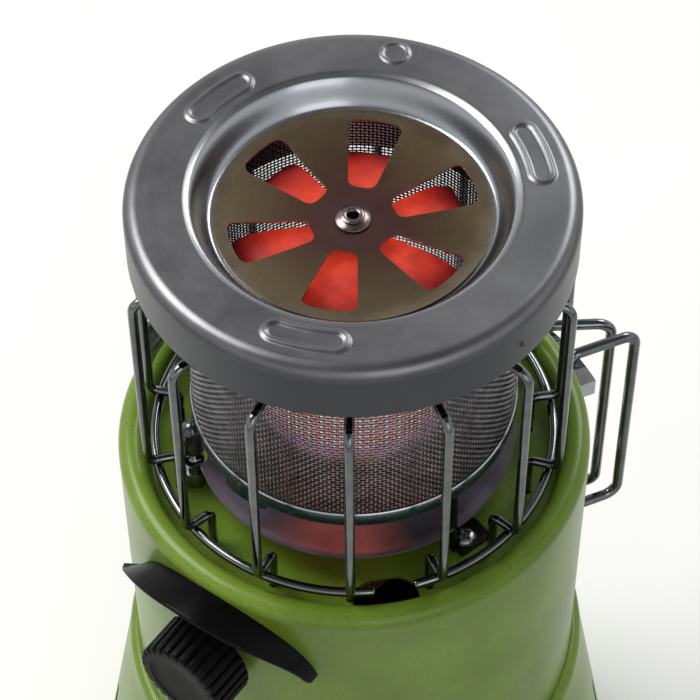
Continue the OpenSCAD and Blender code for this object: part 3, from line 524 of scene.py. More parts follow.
def capFinish():
    look, tree, shader, place = bare("satin pressed steel", Metallic=1.0)
    radius = axisRadius(tree, place)
    height = add(tree, "SeparateXYZ", {0: place}).outputs["Z"]
    # rings left by the press: fine along the radius, long around it
    heading = vectorNode(tree, "NORMALIZE", {0: flattened(tree, place)})
    lengthwise = vectorNode(tree, "SCALE", {0: heading, "Scale": 1.4})
    reach = mathNode(tree, "ADD", radius, mathNode(tree, "MULTIPLY", height, 0.8))
    lift = add(tree, "CombineXYZ", {"Z": mathNode(tree, "MULTIPLY", reach, 2600.0)}).outputs["Vector"]
    lines = noise(tree, vectorNode(tree, "ADD", {0: lengthwise, 1: lift}), 1.0, 2.0)
    cloud = noise(tree, place, 30.0, 5.0, 0.62)
    grain = noise(tree, place, 1400.0, 2.0, 0.7)
    tone = twoTone(tree, cloud, *cap["tones"])
    # painted shade: the upright skirt gets a darker tone than the top of the cap
    skirtShade = spread(tree, height, (cap["top"] - 1.3) * mm, (cap["top"] - 5.7) * mm, 0.0, 1.0)
    tone = mixed(tree, "MIX", skirtShade, tone, srgb(*cap["skirtTone"]))
    inFunnel = spread(tree, radius, (cap["dish"] + 0.7) * mm, (cap["dish"] - 0.7) * mm, 0.0, 1.0)
    tone = mixed(tree, "MIX", inFunnel, tone, srgb(*cap["funnelTone"]))
    tone = mixed(tree, "MULTIPLY", 0.5, tone, ramp(tree, grain, [(0.3, 0.82), (0.7, 1.0)]))
    plug(shader, "Base Color", tone)
    satin = spread(tree, weighed(tree, cloud, 0.5, lines), 0.3, 0.7, 0.31, 0.40)
    plug(shader, "Roughness", mathNode(tree, "SUBTRACT", satin, mathNode(tree, "MULTIPLY", inFunnel, 0.12)))
    bumped(tree, shader, weighed(tree, lines, 0.6, grain), 0.12, 0.0001)
    return look


def swell(d, half):                      # 1 on the middle of a rib, 0 from half its width on
    return 0.5 + 0.5 * cos(pi * min(abs(d) / half, 1.0))


def alongRim(az, middle, r):
    return radians((az - middle + 180) % 360 - 180) * r


def capRelief(az, r):
    h = 0.0
    for middle in cap["beadAz"]:
        along = abs(alongRim(az, middle, cap["beadAt"])) - (cap["beadLong"] - cap["beadWide"]) / 2
        d = hypot(max(along, 0.0), r - cap["beadAt"]) - (cap["beadWide"] / 2 - cap["rib"])
        h = max(h, swell(d, cap["rib"]))
    d = hypot(alongRim(az, cap["bossAz"], cap["bossAt"]), r - cap["bossAt"]) - cap["bossR"]
    return max(h, swell(d, cap["bossRib"]) * cap["bossH"]) * cap["ribH"]


def pipShape():
    rows, cols = pip["rows"], pip["cols"]
    verts = [turned(pip["az"], cap["r"] + pip["high"] - pip["sunk"], 0.0, pip["z"])]
    faces = [(0, 1 + k, 1 + (k + 1) % cols) for k in range(cols)]
    for i in range(1, rows + 1):
        for k in range(cols):
            q, a = pip["r"] * i / rows, 2 * pi * k / cols
            y, z = q * cos(a), q * sin(a)
            x = sqrt(cap["r"] ** 2 - y * y) - pip["sunk"] + pip["high"] * swell(i, rows)
            verts.append(turned(pip["az"], x, y, pip["z"] + z))
        if i < rows:
            faces += band(1 + i * cols, 1 + (i - 1) * cols, cols)
    return verts, faces + [tuple(range(1 + (rows - 1) * cols, 1 + rows * cols))]


capLine = [(cap["r"], cap["skirt"] + up) for up in (0.0, 0.4, 2.0, 5.0, 9.0, 13.0, 16.4)]
capLine += arc(cap["r"] - cap["edge"], cap["top"] - cap["edge"], cap["edge"], 6, 90, 14)
flatFrom, funnelFrom, funnelTop = cap["r"] - cap["edge"] - 0.2, cap["dish"] - 0.1, cap["top"] - 0.65
capLine += [(flatFrom - 0.45 * i, cap["top"]) for i in range(1, cap["rimSteps"] + 1)]
capLine += [(cap["dish"] + out, cap["top"] - down) for out, down in ((1.0, 0.04), (0.6, 0.16), (0.2, 0.4))]
for i in range(1, cap["funnelSteps"] + 1):
    t = i / cap["funnelSteps"]
    capLine.append((funnelFrom - (funnelFrom - cap["throat"]) * t,
                    cap["shelf"] + (funnelTop - cap["shelf"]) * swell(t, 1.0)))
capLine += [(cap["throat"] - 1.0, cap["shelf"]), (cap["lap"], cap["shelf"])]
capLoop = sheetLoop(capLine, cap["wall"])
capVerts = []
for k in range(cap["steps"]):
    az = 360 * k / cap["steps"]
    for r, z in capLoop:
        onRim = z > cap["top"] - 1.5 and r > cap["dish"] + 1.1
        capVerts.append(around(az, r, z + (capRelief(az, r) if onRim else 0.0)))
capRing = (capVerts, revolved(cap["steps"], len(capLoop)))
piece("cap_ring", joined(capRing, pipShape()), capFinish(), stands=("cap",), sharp=45)
print("cap made")

# heat tinted disc: a shallow bowl with six windows
disc = {"r": 47.0, "top": 397.7, "thick": 0.7, "bowl": 44.8, "dip": 3.8, "bowlSteps": 16, "washer": 6.2,
        "hole": 3.1, "windows": 6, "turn": 11.4, "inR": 14.5, "outR": 42.6, "halfIn": 4.5, "halfOut": 9.7,
        "cornerIn": 3.4, "cornerOut": 3.0, "sideBend": 9.0, "bareWithin": 45.5,
        "tones": ((0.10, (72, 46, 46)), (0.28, (66, 42, 38)), (0.46, (68, 48, 36)), (0.70, (72, 58, 40)),
                  (0.90, (80, 68, 50)), (1.0, (98, 88, 72)))}
windowAz = [180 - disc["turn"] + i * 360 / disc["windows"] for i in range(disc["windows"])]
seatZ = disc["top"] - disc["dip"]


def discFinish():
    look, tree, shader, place = bare("heat tinted steel", Metallic=0.85)
    cloud = noise(tree, place, 55.0, 5.0, 0.65)
    grain = noise(tree, place, 1500.0, 2.0, 0.7)
    part = mathNode(tree, "DIVIDE", axisRadius(tree, place), disc["r"] * mm)
    tints = [(spot, srgb(*tint)) for spot, tint in disc["tones"]]
    tone = ramp(tree, wavering(tree, part, cloud, 0.22), tints)
    tone = mixed(tree, "MULTIPLY", 0.7, tone, ramp(tree, grain, [(0.32, 0.72), (0.62, 1.0)]))
    plug(shader, "Base Color", tone)
    plug(shader, "Roughness", spread(tree, cloud, 0.3, 0.7, 0.34, 0.46))
    bumped(tree, shader, grain, 0.18, 0.0001)
    return look


# outline of one window, long way along x, with a curved outer side
def windowOutline():
    r, wide = disc["outR"], disc["halfOut"]
    outerSide = [(sqrt(r * r - y * y), y) for y in (-5.6, -2.8, 0.0, 2.8, 5.6)]
    endX = sqrt(r * r - wide * wide)
    corners = [(disc["inR"], -disc["halfIn"]), (endX, -wide)] + outerSide
    corners += [(endX, wide), (disc["inR"], disc["halfIn"])]
    radii = [disc["cornerOut"]] + [disc["sideBend"]] * len(outerSide) + [disc["cornerOut"]]
    return filleted(corners, [disc["cornerIn"]] + radii + [disc["cornerIn"]], 6)


bowlTop = [(disc["r"], disc["top"]), (disc["r"] - 1.1, disc["top"])]
for i in range(disc["bowlSteps"] + 1):
    t = i / disc["bowlSteps"]
    r = disc["bowl"] - (disc["bowl"] - disc["washer"]) * t
    bowlTop.append((r, disc["top"] - disc["dip"] * sin(radians(90 * t))))
bowlTop.append((disc["hole"], seatZ))
discObj = solid("tinted_disc", *lathe([(r, z - disc["thick"]) for r, z in bowlTop[::-1]] + bowlTop, 240))
for az in windowAz:
    cutBy(discObj, *prism(windowOutline(), disc["top"] - 8, disc["top"] + 3, az))
dress(discObj, discFinish(), stands=("cap_disc",), sharp=28, bevel=0.2, trim=edgeSteel)
for face in discObj.data.polygons:       # the walls of the windows are bare metal too
    if abs(face.normal.z) < 0.6 and face.center.xy.length < disc["bareWithin"] * mm:
        face.material_index = 1
print("disc made")

# eyelet and its cone washer in the middle of the disc: radius, height over the middle of the disc
eyelet = {"washer": ((3.1, 0.9), (6.1, 0.1), (6.2, 0.2), (6.2, 0.6), (6.0, 0.85), (4.6, 1.4), (3.5, 1.85),
                     (3.1, 1.9)),
          "barrel": ((1.8, -6.0), (3.0, -6.0), (4.0, -6.0), (4.2, -5.7), (4.0, -5.3), (3.0, -5.2), (3.0, 1.6),
                     (3.9, 1.95), (4.1, 2.3), (3.7, 2.6), (3.0, 2.8), (2.3, 2.6), (1.9, 2.2), (1.8, 1.6))}
for name, part, node in (("cone_washer", "washer", "eyelet_washer"),
                         ("rolled_eyelet", "barrel", "centre_eyelet")):
    loop = [(r, seatZ + up) for r, up in eyelet[part]]
    piece(name, lathe(loop, 96), eyeletSteel, stands=(node,), sharp=50)

# glowing petals that hang from the eyelet
petals = {"top": 389.9, "thick": 0.8, "hubR": 9.6, "hubSag": 0.25, "hub": 9.0, "halfHub": 4.4, "spread": 0.27,
          "tipFrom": 38, "cols": 9, "curl": 0.006, "curlAt": 30, "soften": 0.8, "glowR": 44.0, "glow": 0.72,
          "line": ((3.1, 0.0), (17.5, -0.4), (27.0, -1.0), (33.0, -2.0), (37.0, -3.8), (40.0, -6.2)),
          "heat": ((0.19, (0.06, 0.008, 0.005)), (0.28, (0.66, 0.040, 0.018)), (0.46, (0.84, 0.066, 0.028)),
                   (0.66, (0.60, 0.030, 0.014)), (0.80, (0.30, 0.014, 0.009)), (0.90, (0.07, 0.005, 0.004)))}


def petalFinish():
    look, tree, shader, place = bare("glowing petal steel", Roughness=0.45, Specular_IOR_Level=0.12)
    cloud = noise(tree, place, 70.0, 3.0, 0.6)
    radius = wavering(tree, axisRadius(tree, place), cloud, 4 * mm)
    part = mathNode(tree, "DIVIDE", radius, petals["glowR"] * mm)
    mottled = ramp(tree, noise(tree, place, 150.0, 4.0, 0.6), [(0.3, 0.55), (0.64, 1.0)])
    # painted glow from the petals' emission, brightest midway out and fading on the bent-down tips, partly as
    # cooler metal and partly as painted shade where the tips face away from the light
    plug(shader, "Emission Color", mixed(tree, "MULTIPLY", 1.0, ramp(tree, part, petals["heat"]), mottled))
    shader.inputs["Emission Strength"].default_value = petals["glow"]
    plug(shader, "Base Color", ramp(tree, part, [(0.3, (0.22, 0.02, 0.014)), (0.8, (0.09, 0.014, 0.014))]))
    bumped(tree, shader, cloud, 0.2, 0.0003)
    return look


def petalDrop(x):
    line = petals["line"]
    for (x0, z0), (x1, z1) in zip(line, line[1:]):
        if x <= x1:
            return z0 + (z1 - z0) * (x - x0) / (x1 - x0)
    return line[-1][1]


def petalShape(az):
    xs = [8.6, *range(10, 31, 2), 31.5, *range(33, 41)]
    cols, verts = petals["cols"], []
    for side in (0.0, -petals["thick"]):
        for x in xs:
            rounding = max(x - petals["tipFrom"], 0) ** 2 / 2
            half = petals["halfHub"] + (x - petals["hub"]) * petals["spread"] - rounding
            drop = sum(petalDrop(x + step) for step in (-petals["soften"], 0, petals["soften"])) / 3
            for j in range(cols):
                y = half * (2 * j / (cols - 1) - 1)
                curl = petals["curl"] * y * y * (x / petals["curlAt"]) ** 2
                verts.append(turned(az, x, y, petals["top"] + drop - curl + side))
    return verts, sheet(len(xs), cols)


top, thick, hubR, sag = petals["top"], petals["thick"], petals["hubR"], petals["hubSag"]
hubLoop = [(disc["hole"], top), (hubR, top - sag), (hubR, top - sag - thick), (disc["hole"], top - thick)]
hub = lathe(hubLoop, 72)
piece("glow_petals", joined(hub, *[petalShape(az) for az in windowAz]), petalFinish(),
      stands=("radiant_dome",), sharp=60)
print("petals made")

# woven gauze screen and the band at its top
gauze = {"r": 58.0, "low": 300.6, "pitch": 1.45, "wires": 252, "rings": 72, "wire": 0.288, "wave": 0.22,
         "tones": ((106, 105, 109), (146, 145, 149)), "soot": (30, 26, 25), "sootLow": 362.0,
         "sootHigh": 370.0, "sootRear": 40.0, "sootDepth": 34.0, "bandInR": 58.7, "bandOutR": 59.4,
         "bandLow": 367.0, "bandTop": 405.8}
weave = (0, 1, 0, -1)
wireCut = arc(0.0, 0.0, gauze["wire"], 45, 315, 3)         # each wire is square, on edge to the weave


def gauzeFinish():
    look, tree, shader, place = bare("gauze wire", Metallic=1.0)
    cloud = noise(tree, place, 160.0, 4.0, 0.6)
    tone = twoTone(tree, cloud, *gauze["tones"])
    parts = add(tree, "SeparateXYZ", {0: place}).outputs
    # darker band at the top of the gauze, partly soot and partly painted shade; on the rear half it starts
    # lower, as painted shade on the rear of the screen seen through the windows
    rear = spread(tree, parts["Y"], 0.0, gauze["sootDepth"] * mm, 0.0, gauze["sootRear"] * mm)
    height = mathNode(tree, "ADD", parts["Z"], rear)
    sootAndShadeMix = spread(tree, height, gauze["sootLow"] * mm, gauze["sootHigh"] * mm, 0.0, 0.93)
    plug(shader, "Base Color", mixed(tree, "MIX", sootAndShadeMix, tone, srgb(*gauze["soot"])))
    fine = noise(tree, place, 3000.0, 2.0, 0.6)
    plug(shader, "Roughness", spread(tree, fine, 0.3, 0.7, 0.22, 0.40))
    bumped(tree, shader, fine, 0.1)
    return look


def uprightGauze(first, last):
    verts, faces = [], []
    for i in range(first, last):
        a = 2 * pi * i / gauze["wires"]
        ca, sa, start = cos(a), sin(a), len(verts)
        for s in range(2 * gauze["rings"] + 1):
            r = gauze["r"] + weave[(s + 2 * (i % 2)) % 4] * gauze["wave"]
            z = gauze["low"] + s * gauze["pitch"] / 2
            verts += [((r + u) * ca - v * sa, (r + u) * sa + v * ca, z) for u, v in wireCut]
            if s:
                faces += band(start + (s - 1) * 4, start + s * 4, 4)
        faces += [(start + 3, start + 2, start + 1, start), tuple(len(verts) - 4 + k for k in range(4))]
    return verts, faces


def hoopGauze(first, last):
    verts, faces, samples = [], [], 2 * gauze["wires"]
    for j in range(first, last):
        z, start = gauze["low"] + (j + 0.5) * gauze["pitch"], len(verts)
        for s in range(samples):
            a = pi * s / gauze["wires"]
            r = gauze["r"] - weave[(s + 1 + 2 * (j % 2)) % 4] * gauze["wave"]
            verts += [((r + u) * cos(a), (r + u) * sin(a), z + v) for u, v in wireCut]
            faces += band(start + s * 4, start + ((s + 1) % samples) * 4, 4)
    return verts, faces


gauzeSteel, halfWires, halfRings = gauzeFinish(), gauze["wires"] // 2, gauze["rings"] // 2
for name, weaver, first, last in (("gauze_uprights_rear", uprightGauze, 0, halfWires),
                                  ("gauze_uprights_front", uprightGauze, halfWires, 2 * halfWires),
                                  ("gauze_rings_low", hoopGauze, 0, halfRings),
                                  ("gauze_rings_high", hoopGauze, halfRings, 2 * halfRings)):
    piece(name, weaver(first, last), gauzeSteel, stands=("mesh_screen",), sharp=80)
inR, outR, low, top = (gauze[part] for part in ("bandInR", "bandOutR", "bandLow", "bandTop"))
bandLoop = [(inR, low), (outR - 0.3, low), (outR, low + 0.2), (outR, top), (inR, top)]
piece("gauze_band", lathe(bandLoop, 256), edgeSteel, stands=("mesh_band",))
print("gauze woven")

# collar under the gauze, its bright rim and its tab: radius, height over the collar's underside
collar = {"low": 299.1,
          "outline": ((38.6, 0.0), (38.6, 1.2), (56.9, 1.2), (58.3, 1.8), (58.35, 6.2), (58.6, 6.6),
                      (58.85, 6.5), (59.0, 6.1), (59.0, 1.3), (58.9, 0.4), (58.4, 0.0)),
          "rim": ((58.3, 6.5), (58.7, 6.85), (59.05, 6.6), (59.1, 6.2), (58.8, 6.1), (58.4, 6.1))}
tab = {"from": -51.0, "to": -32.0, "low": 293.0, "top": 299.2, "r": 57.4, "thick": 1.1, "steps": 12,
       "slant": 2.4, "corner": 1.2}
tabVerts, tabFaces = [], []
for i in range(tab["steps"] + 1):
    t = i / tab["steps"]
    low = tab["low"] + tab["slant"] * t + (tab["corner"] if i in (0, tab["steps"]) else 0.0)
    section = ringBar(tab["r"], tab["r"] + tab["thick"], low, tab["top"])
    tabVerts += [around(tab["from"] + (tab["to"] - tab["from"]) * t, r, z) for r, z in section]
    if i:
        tabFaces += band(4 * i - 4, 4 * i, 4)
tabFaces += [(0, 1, 2, 3), tuple(4 * tab["steps"] + k for k in (3, 2, 1, 0))]
collarRing = lathe([(r, collar["low"] + up) for r, up in collar["outline"]])
piece("burner_collar", joined(collarRing, (tabVerts, tabFaces)), collarSteel,
      stands=("burner_plate",), sharp=40)
rimRing = lathe([(r, collar["low"] + up) for r, up in collar["rim"]])
piece("collar_rim", rimRing, edgeSteel, stands=("burner_plate",), sharp=60)

# burner: its cup with a flange and a shelf, and the glowing tile
cup = {"line": ((38.4, 307.0), (38.4, 290.0), (35.4, 286.0), (21.0, 280.0), (15.0, 277.5), (13.9, 275.0),
                (13.9, 270.0)),
       "wall": 0.8, "flange": (38.2, 42.4, 297.8, 299.0), "shelf": (34.2, 38.0, 295.8, 296.9)}
tile = {"r": 36.2, "low": 297.0, "top": 309.0, "chamfer": 0.4, "topChamfer": 0.5, "port": 2.3, "glow": 0.95,
        "edgeFrom": 31.5, "edgeTo": 34.5, "flames": ((0.62, 0.92, 1.0), (0.14, 0.28, 0.95)),
        "bodies": ((0.50, 0.10, 0.07), (0.30, 0.08, 0.09)), "clay": (226, 190, 178), "bore": (120, 80, 76)}


def tileFinish():
    look, tree, shader, place = bare("glowing burner tile", Roughness=0.8)
    ports = add(tree, "TexVoronoi", {"Vector": place, "Scale": 1 / (tile["port"] * mm), "Randomness": 0.0},
                voronoi_dimensions="2D")
    port = ramp(tree, ports.outputs["Distance"], [(0.18, 1.0), (0.34, 0.0)])
    edge = spread(tree, axisRadius(tree, place), tile["edgeFrom"] * mm, tile["edgeTo"] * mm, 0.0, 1.0)
    body, flame = (mixed(tree, "MIX", edge, *tile[part]) for part in ("bodies", "flames"))
    glow = mixed(tree, "MIX", port, body, flame)
    plug(shader, "Emission Color", glow)
    shader.inputs["Emission Strength"].default_value = tile["glow"]
    plug(shader, "Base Color", ramp(tree, port, [(0.0, srgb(*tile["clay"])), (1.0, srgb(*tile["bore"]))]))
    bumped(tree, shader, port, 0.4, 0.0004)
    return look


cupShape = joined(lathe(sheetLoop(list(cup["line"]), -cup["wall"]), 160), lathe(ringBar(*cup["flange"]), 160),
                  lathe(ringBar(*cup["shelf"]), 160))
piece("burner_bowl", cupShape, burnerSteel, stands=("burner_cup",), sharp=35)
r, low, top, small, big = (tile[part] for part in ("r", "low", "top", "chamfer", "topChamfer"))
tileLoop = [(0.0, low), (r - small, low), (r, low + small), (r, top - big), (r - big, top), (20.0, top),
            (0.0, top)]
piece("burner_tile", lathe(tileLoop, 128), tileFinish(), stands=("ceramic_tile",), weld=True,
      sharp=50)

# polished pan under the burner, slit for the brackets and holed for the sensor post
bracket = {"az": (38.0, 158.0, -112.0), "in": 53.0, "wide": 5.7, "thick": 1.3, "top": 299.0, "chamfer": 1.0,
           "footIn": 50.0, "footOut": 62.05, "footWide": 15.0, "footBend": (0.3, 0.3, 3.5, 3.5), "lap": 0.1,
           "bevel": 0.25, "screwAt": 57.0, "screwOff": 6.2}
pan = {"thick": 0.6, "cutLow": 266.0, "cutTop": 288.0, "slitTo": 72.0, "slitGap": 0.4, "slitSide": 0.3,
       "postHole": 4.9, "tones": ((128, 119, 132), (158, 148, 164)), "warmth": (0.15, 0.026, 0.018),
       "warmLeft": (-38, -16), "warmRight": (24, 4), "warmRim": (58.5, 55.5),
       "line": ((59.0, 279.8), (58.6, 279.75), (58.0, 279.4), (56.0, 278.4), (53.0, 276.6), (49.0, 275.5),
                (45.0, 274.8), (40.0, 274.35), (33.0, 274.0), (20.0, 274.0), (14.1, 274.0))}


def panFinish():
    look, tree, shader, place = bare("polished pan steel", Metallic=0.6)
    parts = add(tree, "SeparateXYZ", {0: place}).outputs
    heading = mathNode(tree, "ARCTAN2", parts["X"], mathNode(tree, "MULTIPLY", parts["Y"], -1.0))
    cloud = noise(tree, place, 60.0, 4.0)
    plug(shader, "Base Color", twoTone(tree, cloud, *pan["tones"]))
    # painted reflection of the burner's red glow on the front of the pan, given as emission
    left = spread(tree, heading, *[radians(a) for a in pan["warmLeft"]], 0.0, 1.0)
    right = spread(tree, heading, *[radians(a) for a in pan["warmRight"]], 0.0, 1.0)
    rim = spread(tree, axisRadius(tree, place), *[r * mm for r in pan["warmRim"]], 0.0, 1.0)
    paintedGlowMask = mathNode(tree, "MULTIPLY", mathNode(tree, "MULTIPLY", left, right), rim)
    paintedGlowMask = mathNode(tree, "MULTIPLY", paintedGlowMask, spread(tree, cloud, 0.3, 0.6, 0.7, 1.0))
    plug(shader, "Emission Color", mixed(tree, "MIX", paintedGlowMask, 0.0, pan["warmth"]))
    shader.inputs["Emission Strength"].default_value = 1.0
    plug(shader, "Roughness", spread(tree, cloud, 0.3, 0.7, 0.16, 0.28))
    bumped(tree, shader, noise(tree, place, 500.0, 2.0), 0.05, 0.0001)
    return look


panObj = solid("burner_pan", *lathe(sheetLoop(list(pan["line"]), pan["thick"])))
slitHalf, slitFrom = bracket["thick"] / 2 + pan["slitSide"], bracket["in"] - pan["slitGap"]
slit = ringBar(slitFrom, pan["slitTo"], -slitHalf, slitHalf)
panCuts = [prism(slit, pan["cutLow"], pan["cutTop"], az) for az in bracket["az"]]
panCuts.append(drill(sensorAt, pan["cutLow"], pan["cutTop"], pan["postHole"], 40))
cutBy(panObj, *joined(*panCuts))
dress(panObj, panFinish(), stands=("reflector_pan",), sharp=35)
print("burner made")

# brackets and their cross head screws
screw = {"z": 265.3, "headR": 4.25, "headH": 2.6, "shankR": 2.0, "shankLong": 7.0, "cross": 0.15,
         "crossReach": 0.55, "crossLow": 0.35, "spin": 34.38,
         "dome": ((0.4, 0.97), (0.7, 0.82), (0.9, 0.55), (1.0, 0.22), (0.98, 0.0))}
thick, top, chamfer = bracket["thick"], bracket["top"], bracket["chamfer"]
inR, outR = bracket["in"], bracket["in"] + bracket["wide"]
leg = [(inR, floorZ), (outR, floorZ), (outR, top - chamfer), (outR - chamfer, top), (inR + chamfer, top),
       (inR, top - chamfer)]
footIn, footOut, footWide = bracket["footIn"], bracket["footOut"], bracket["footWide"]
footLow = thick / 2 - bracket["lap"]
foot = filleted([(footIn, footLow), (footOut, footLow), (footOut, footWide), (footIn, footWide)],
                bracket["footBend"], 7)
legs = []
for az in bracket["az"]:
    legs.append(sandwich(*[[turned(az, x, y, z) for x, z in leg] for y in (-thick / 2, thick / 2)]))
    legs.append(prism(foot, floorZ, floorZ + thick, az))
piece("bracket_legs", joined(*legs), blackBracket, stands=("support_brackets",),
      bevel=bracket["bevel"])

low, headR, headH = screw["z"], screw["headR"], screw["headH"]
shankR, shankLow = screw["shankR"], screw["z"] - screw["shankLong"]
screwLoop = [(0.0, low + headH)] + [(headR * r, low + headH * up) for r, up in screw["dome"]]
screwLoop += [(shankR, low), (shankR, shankLow), (0.0, shankLow)]
w, reach = headR * screw["cross"], headR * screw["crossReach"]
crossRim = [(w, reach), (-w, reach), (-w, w), (-reach, w), (-reach, -w), (-w, -w), (-w, -reach), (w, -reach),
            (w, -w), (reach, -w), (reach, w), (w, w)]
for i, az in enumerate(bracket["az"]):
    screwObj = solid(f"bracket_screw_{i + 1}", *lathe(screwLoop[::-1], 48), weld=True)
    cutBy(screwObj, *prism(crossRim, low + headH * screw["crossLow"], low + headH + 1.0, 90 + screw["spin"]))
    at = turned(az, bracket["screwAt"], bracket["screwOff"], 0)
    screwObj.data.transform(Matrix.Translation(at * mm))
    dress(screwObj, zincSteel, stands=("bracket_screws",), sharp=35)
print("brackets made")

# sensor post: hex nut, bright ball and glazed dome
sensor = {"nutR": 4.0, "nutH": 7.0, "bore": 3.05, "nutSides": 72, "nutTurn": 0.3, "stemR": 3.0,
          "stemLow": 257.0, "ballZ": 277.0, "ballR": 3.8, "ballHalf": 3.4, "neckR": 1.8, "neckTop": 288.0,
          "domeR": 4.1, "domeLow": 283.0, "domeBend": 294.4, "domeIn": 289.0, "gap": 0.05}
nutTop = floorZ + sensor["nutH"]
nutRings = ((floorZ, 1.06), (floorZ + 0.6, 2.0), (nutTop - 0.7, 2.0), (nutTop, 1.05), (nutTop, 0.0),
            (floorZ, 0.0))
nutVerts, nutFaces, nutSides = [], [], sensor["nutSides"]
for i, (z, widest) in enumerate(nutRings):
    for k in range(nutSides):
        a = 2 * pi * k / nutSides
        hexR = sensor["nutR"] / cos((a + pi / 6) % (pi / 3) - pi / 6)
        r = min(hexR, sensor["nutR"] * widest) if widest else sensor["bore"]
        a += sensor["nutTurn"]
        nutVerts.append((sensorAt.x + r * cos(a), sensorAt.y + r * sin(a), z))
    nutFaces += band(i * nutSides, ((i + 1) % len(nutRings)) * nutSides, nutSides)
piece("post_nut", (nutVerts, nutFaces), nutSteel, stands=("sensor_nut",), sharp=25)
r, low, ballZ, neckR = sensor["stemR"], sensor["stemLow"], sensor["ballZ"], sensor["neckR"]
stem = [(0.0, low), (r - 0.2, low), (r, low + 0.3), (r, ballZ - sensor["ballHalf"])]
stem += arc(0.0, ballZ, sensor["ballR"], -40, 60, 10)
stem += [(neckR, ballZ + sensor["ballHalf"]), (neckR, sensor["neckTop"]), (0.0, sensor["neckTop"])]
piece("post_stem", lathe(stem, 48, sensorAt.xy), wireChrome, stands=("sensor_stem",),
      weld=True, sharp=50)
r, low, boreR = sensor["domeR"], sensor["domeLow"], neckR + sensor["gap"]
dome = [(boreR, low), (r - 0.4, low), (r, low + 0.5), (r, sensor["domeBend"])]
dome += arc(0.0, sensor["domeBend"], r, 10, 90, 8) + [(0.0, sensor["domeIn"]), (boreR, sensor["domeIn"])]
piece("post_dome", lathe(dome, 56, sensorAt.xy), domeGlaze, stands=("sensor_dome",),
      weld=True, sharp=40)
print("sensor made")

# wire guard: hoop, top ring and the uprights
guard = {"wire": 1.75, "hoopR": 73.4, "hoopZ": 279.4, "gapFrom": 5.3, "gapTo": 16.5, "hoopSteps": 220,
         "outR": 77.0, "cross": 283.0, "top": 373.0, "ringR": 61.0, "ringSteps": 200, "endIn": 1.7,
         "gap": 0.1, "hookLow": 260.2, "bends": (4.6, 3.6, 2.8)}
hoopPath = []
for i in range(guard["hoopSteps"] + 1):
    az = guard["gapTo"] + (360 - guard["gapTo"] + guard["gapFrom"]) * i / guard["hoopSteps"]
    hoopPath.append(around(az, guard["hoopR"], guard["hoopZ"]))
piece("guard_ring_low", tube(hoopPath, guard["wire"], 18), wireChrome, stands=("guard_hoop",),
      sharp=50)
ringZ, ringSteps = guard["top"] - 2 * guard["wire"] - guard["gap"], guard["ringSteps"]
ringPath = [around(360 * i / ringSteps, guard["ringR"], ringZ) for i in range(ringSteps)]
piece("guard_ring_top", tube(ringPath, guard["wire"], loop=True), wireChrome,
      stands=("guard_top_ring",))
wireLine = [(guard["ringR"] - guard["endIn"], guard["top"]), (guard["outR"], guard["top"]),
            (guard["outR"], guard["cross"]), (drum["wireAt"], guard["cross"]),
            (drum["wireAt"], guard["hookLow"])]
uprights = []
for az in wireAz:
    corners = [around(az, r, z) for r, z in wireLine]
    uprights.append(tube(bentPath(corners, guard["bends"], 9), guard["wire"]))
piece("guard_uprights", joined(*uprights), wireChrome, stands=("guard_wires",), sharp=50)

# polished plate with rounded upper corners, on the rear left of the guard
plate = {"from": -127.4, "to": -104.2, "r": 78.85, "thick": 1.0, "low": 285.4, "high": 307.4, "corner": 6.0,
         "rows": 14, "cols": 24}
plateHalf = radians((plate["to"] - plate["from"]) / 2) * plate["r"]
plateVerts = []
for side in (0.0, plate["thick"]):
    for j in range(plate["cols"] + 1):
        s = plateHalf * (2 * j / plate["cols"] - 1)
        inset = max(abs(s) - (plateHalf - plate["corner"]), 0.0)
        cornerRise = sqrt(max(plate["corner"] ** 2 - inset ** 2, 0.0))
        tall = plate["high"] - plate["corner"] + cornerRise - plate["low"]
        az = (plate["from"] + plate["to"]) / 2 + degrees(s / plate["r"])
        plateVerts += [around(az, plate["r"] + side, plate["low"] + tall * i / plate["rows"])
                       for i in range(plate["rows"] + 1)]
piece("guard_shield", (plateVerts, sheet(plate["cols"] + 1, plate["rows"] + 1)), plateChrome,
      stands=("guard_plate",), sharp=45)
print("guard made")

# hood over the knob, with the pins that hold it
hood = {"r": 41.0, "wall": 2.0, "rightRise": 10.3, "leftRise": 14.7, "reach": 13.8, "lessRight": 8.6,
        "lessLeft": 2.3, "halfWide": 40.0, "flare": 6.0, "flareFrom": 0.6, "steps": 120, "taper": 2.4,
        "blunt": 0.14, "seat": 0.05, "skin": 0.1, "pinR": 0.8, "pinIn": 4.5, "pinOut": 2.0}


def hoodReach(y):
    less = hood["lessRight"] if y > 0 else hood["lessLeft"]
    return hood["reach"] - less * (abs(y) / hood["halfWide"]) ** 3


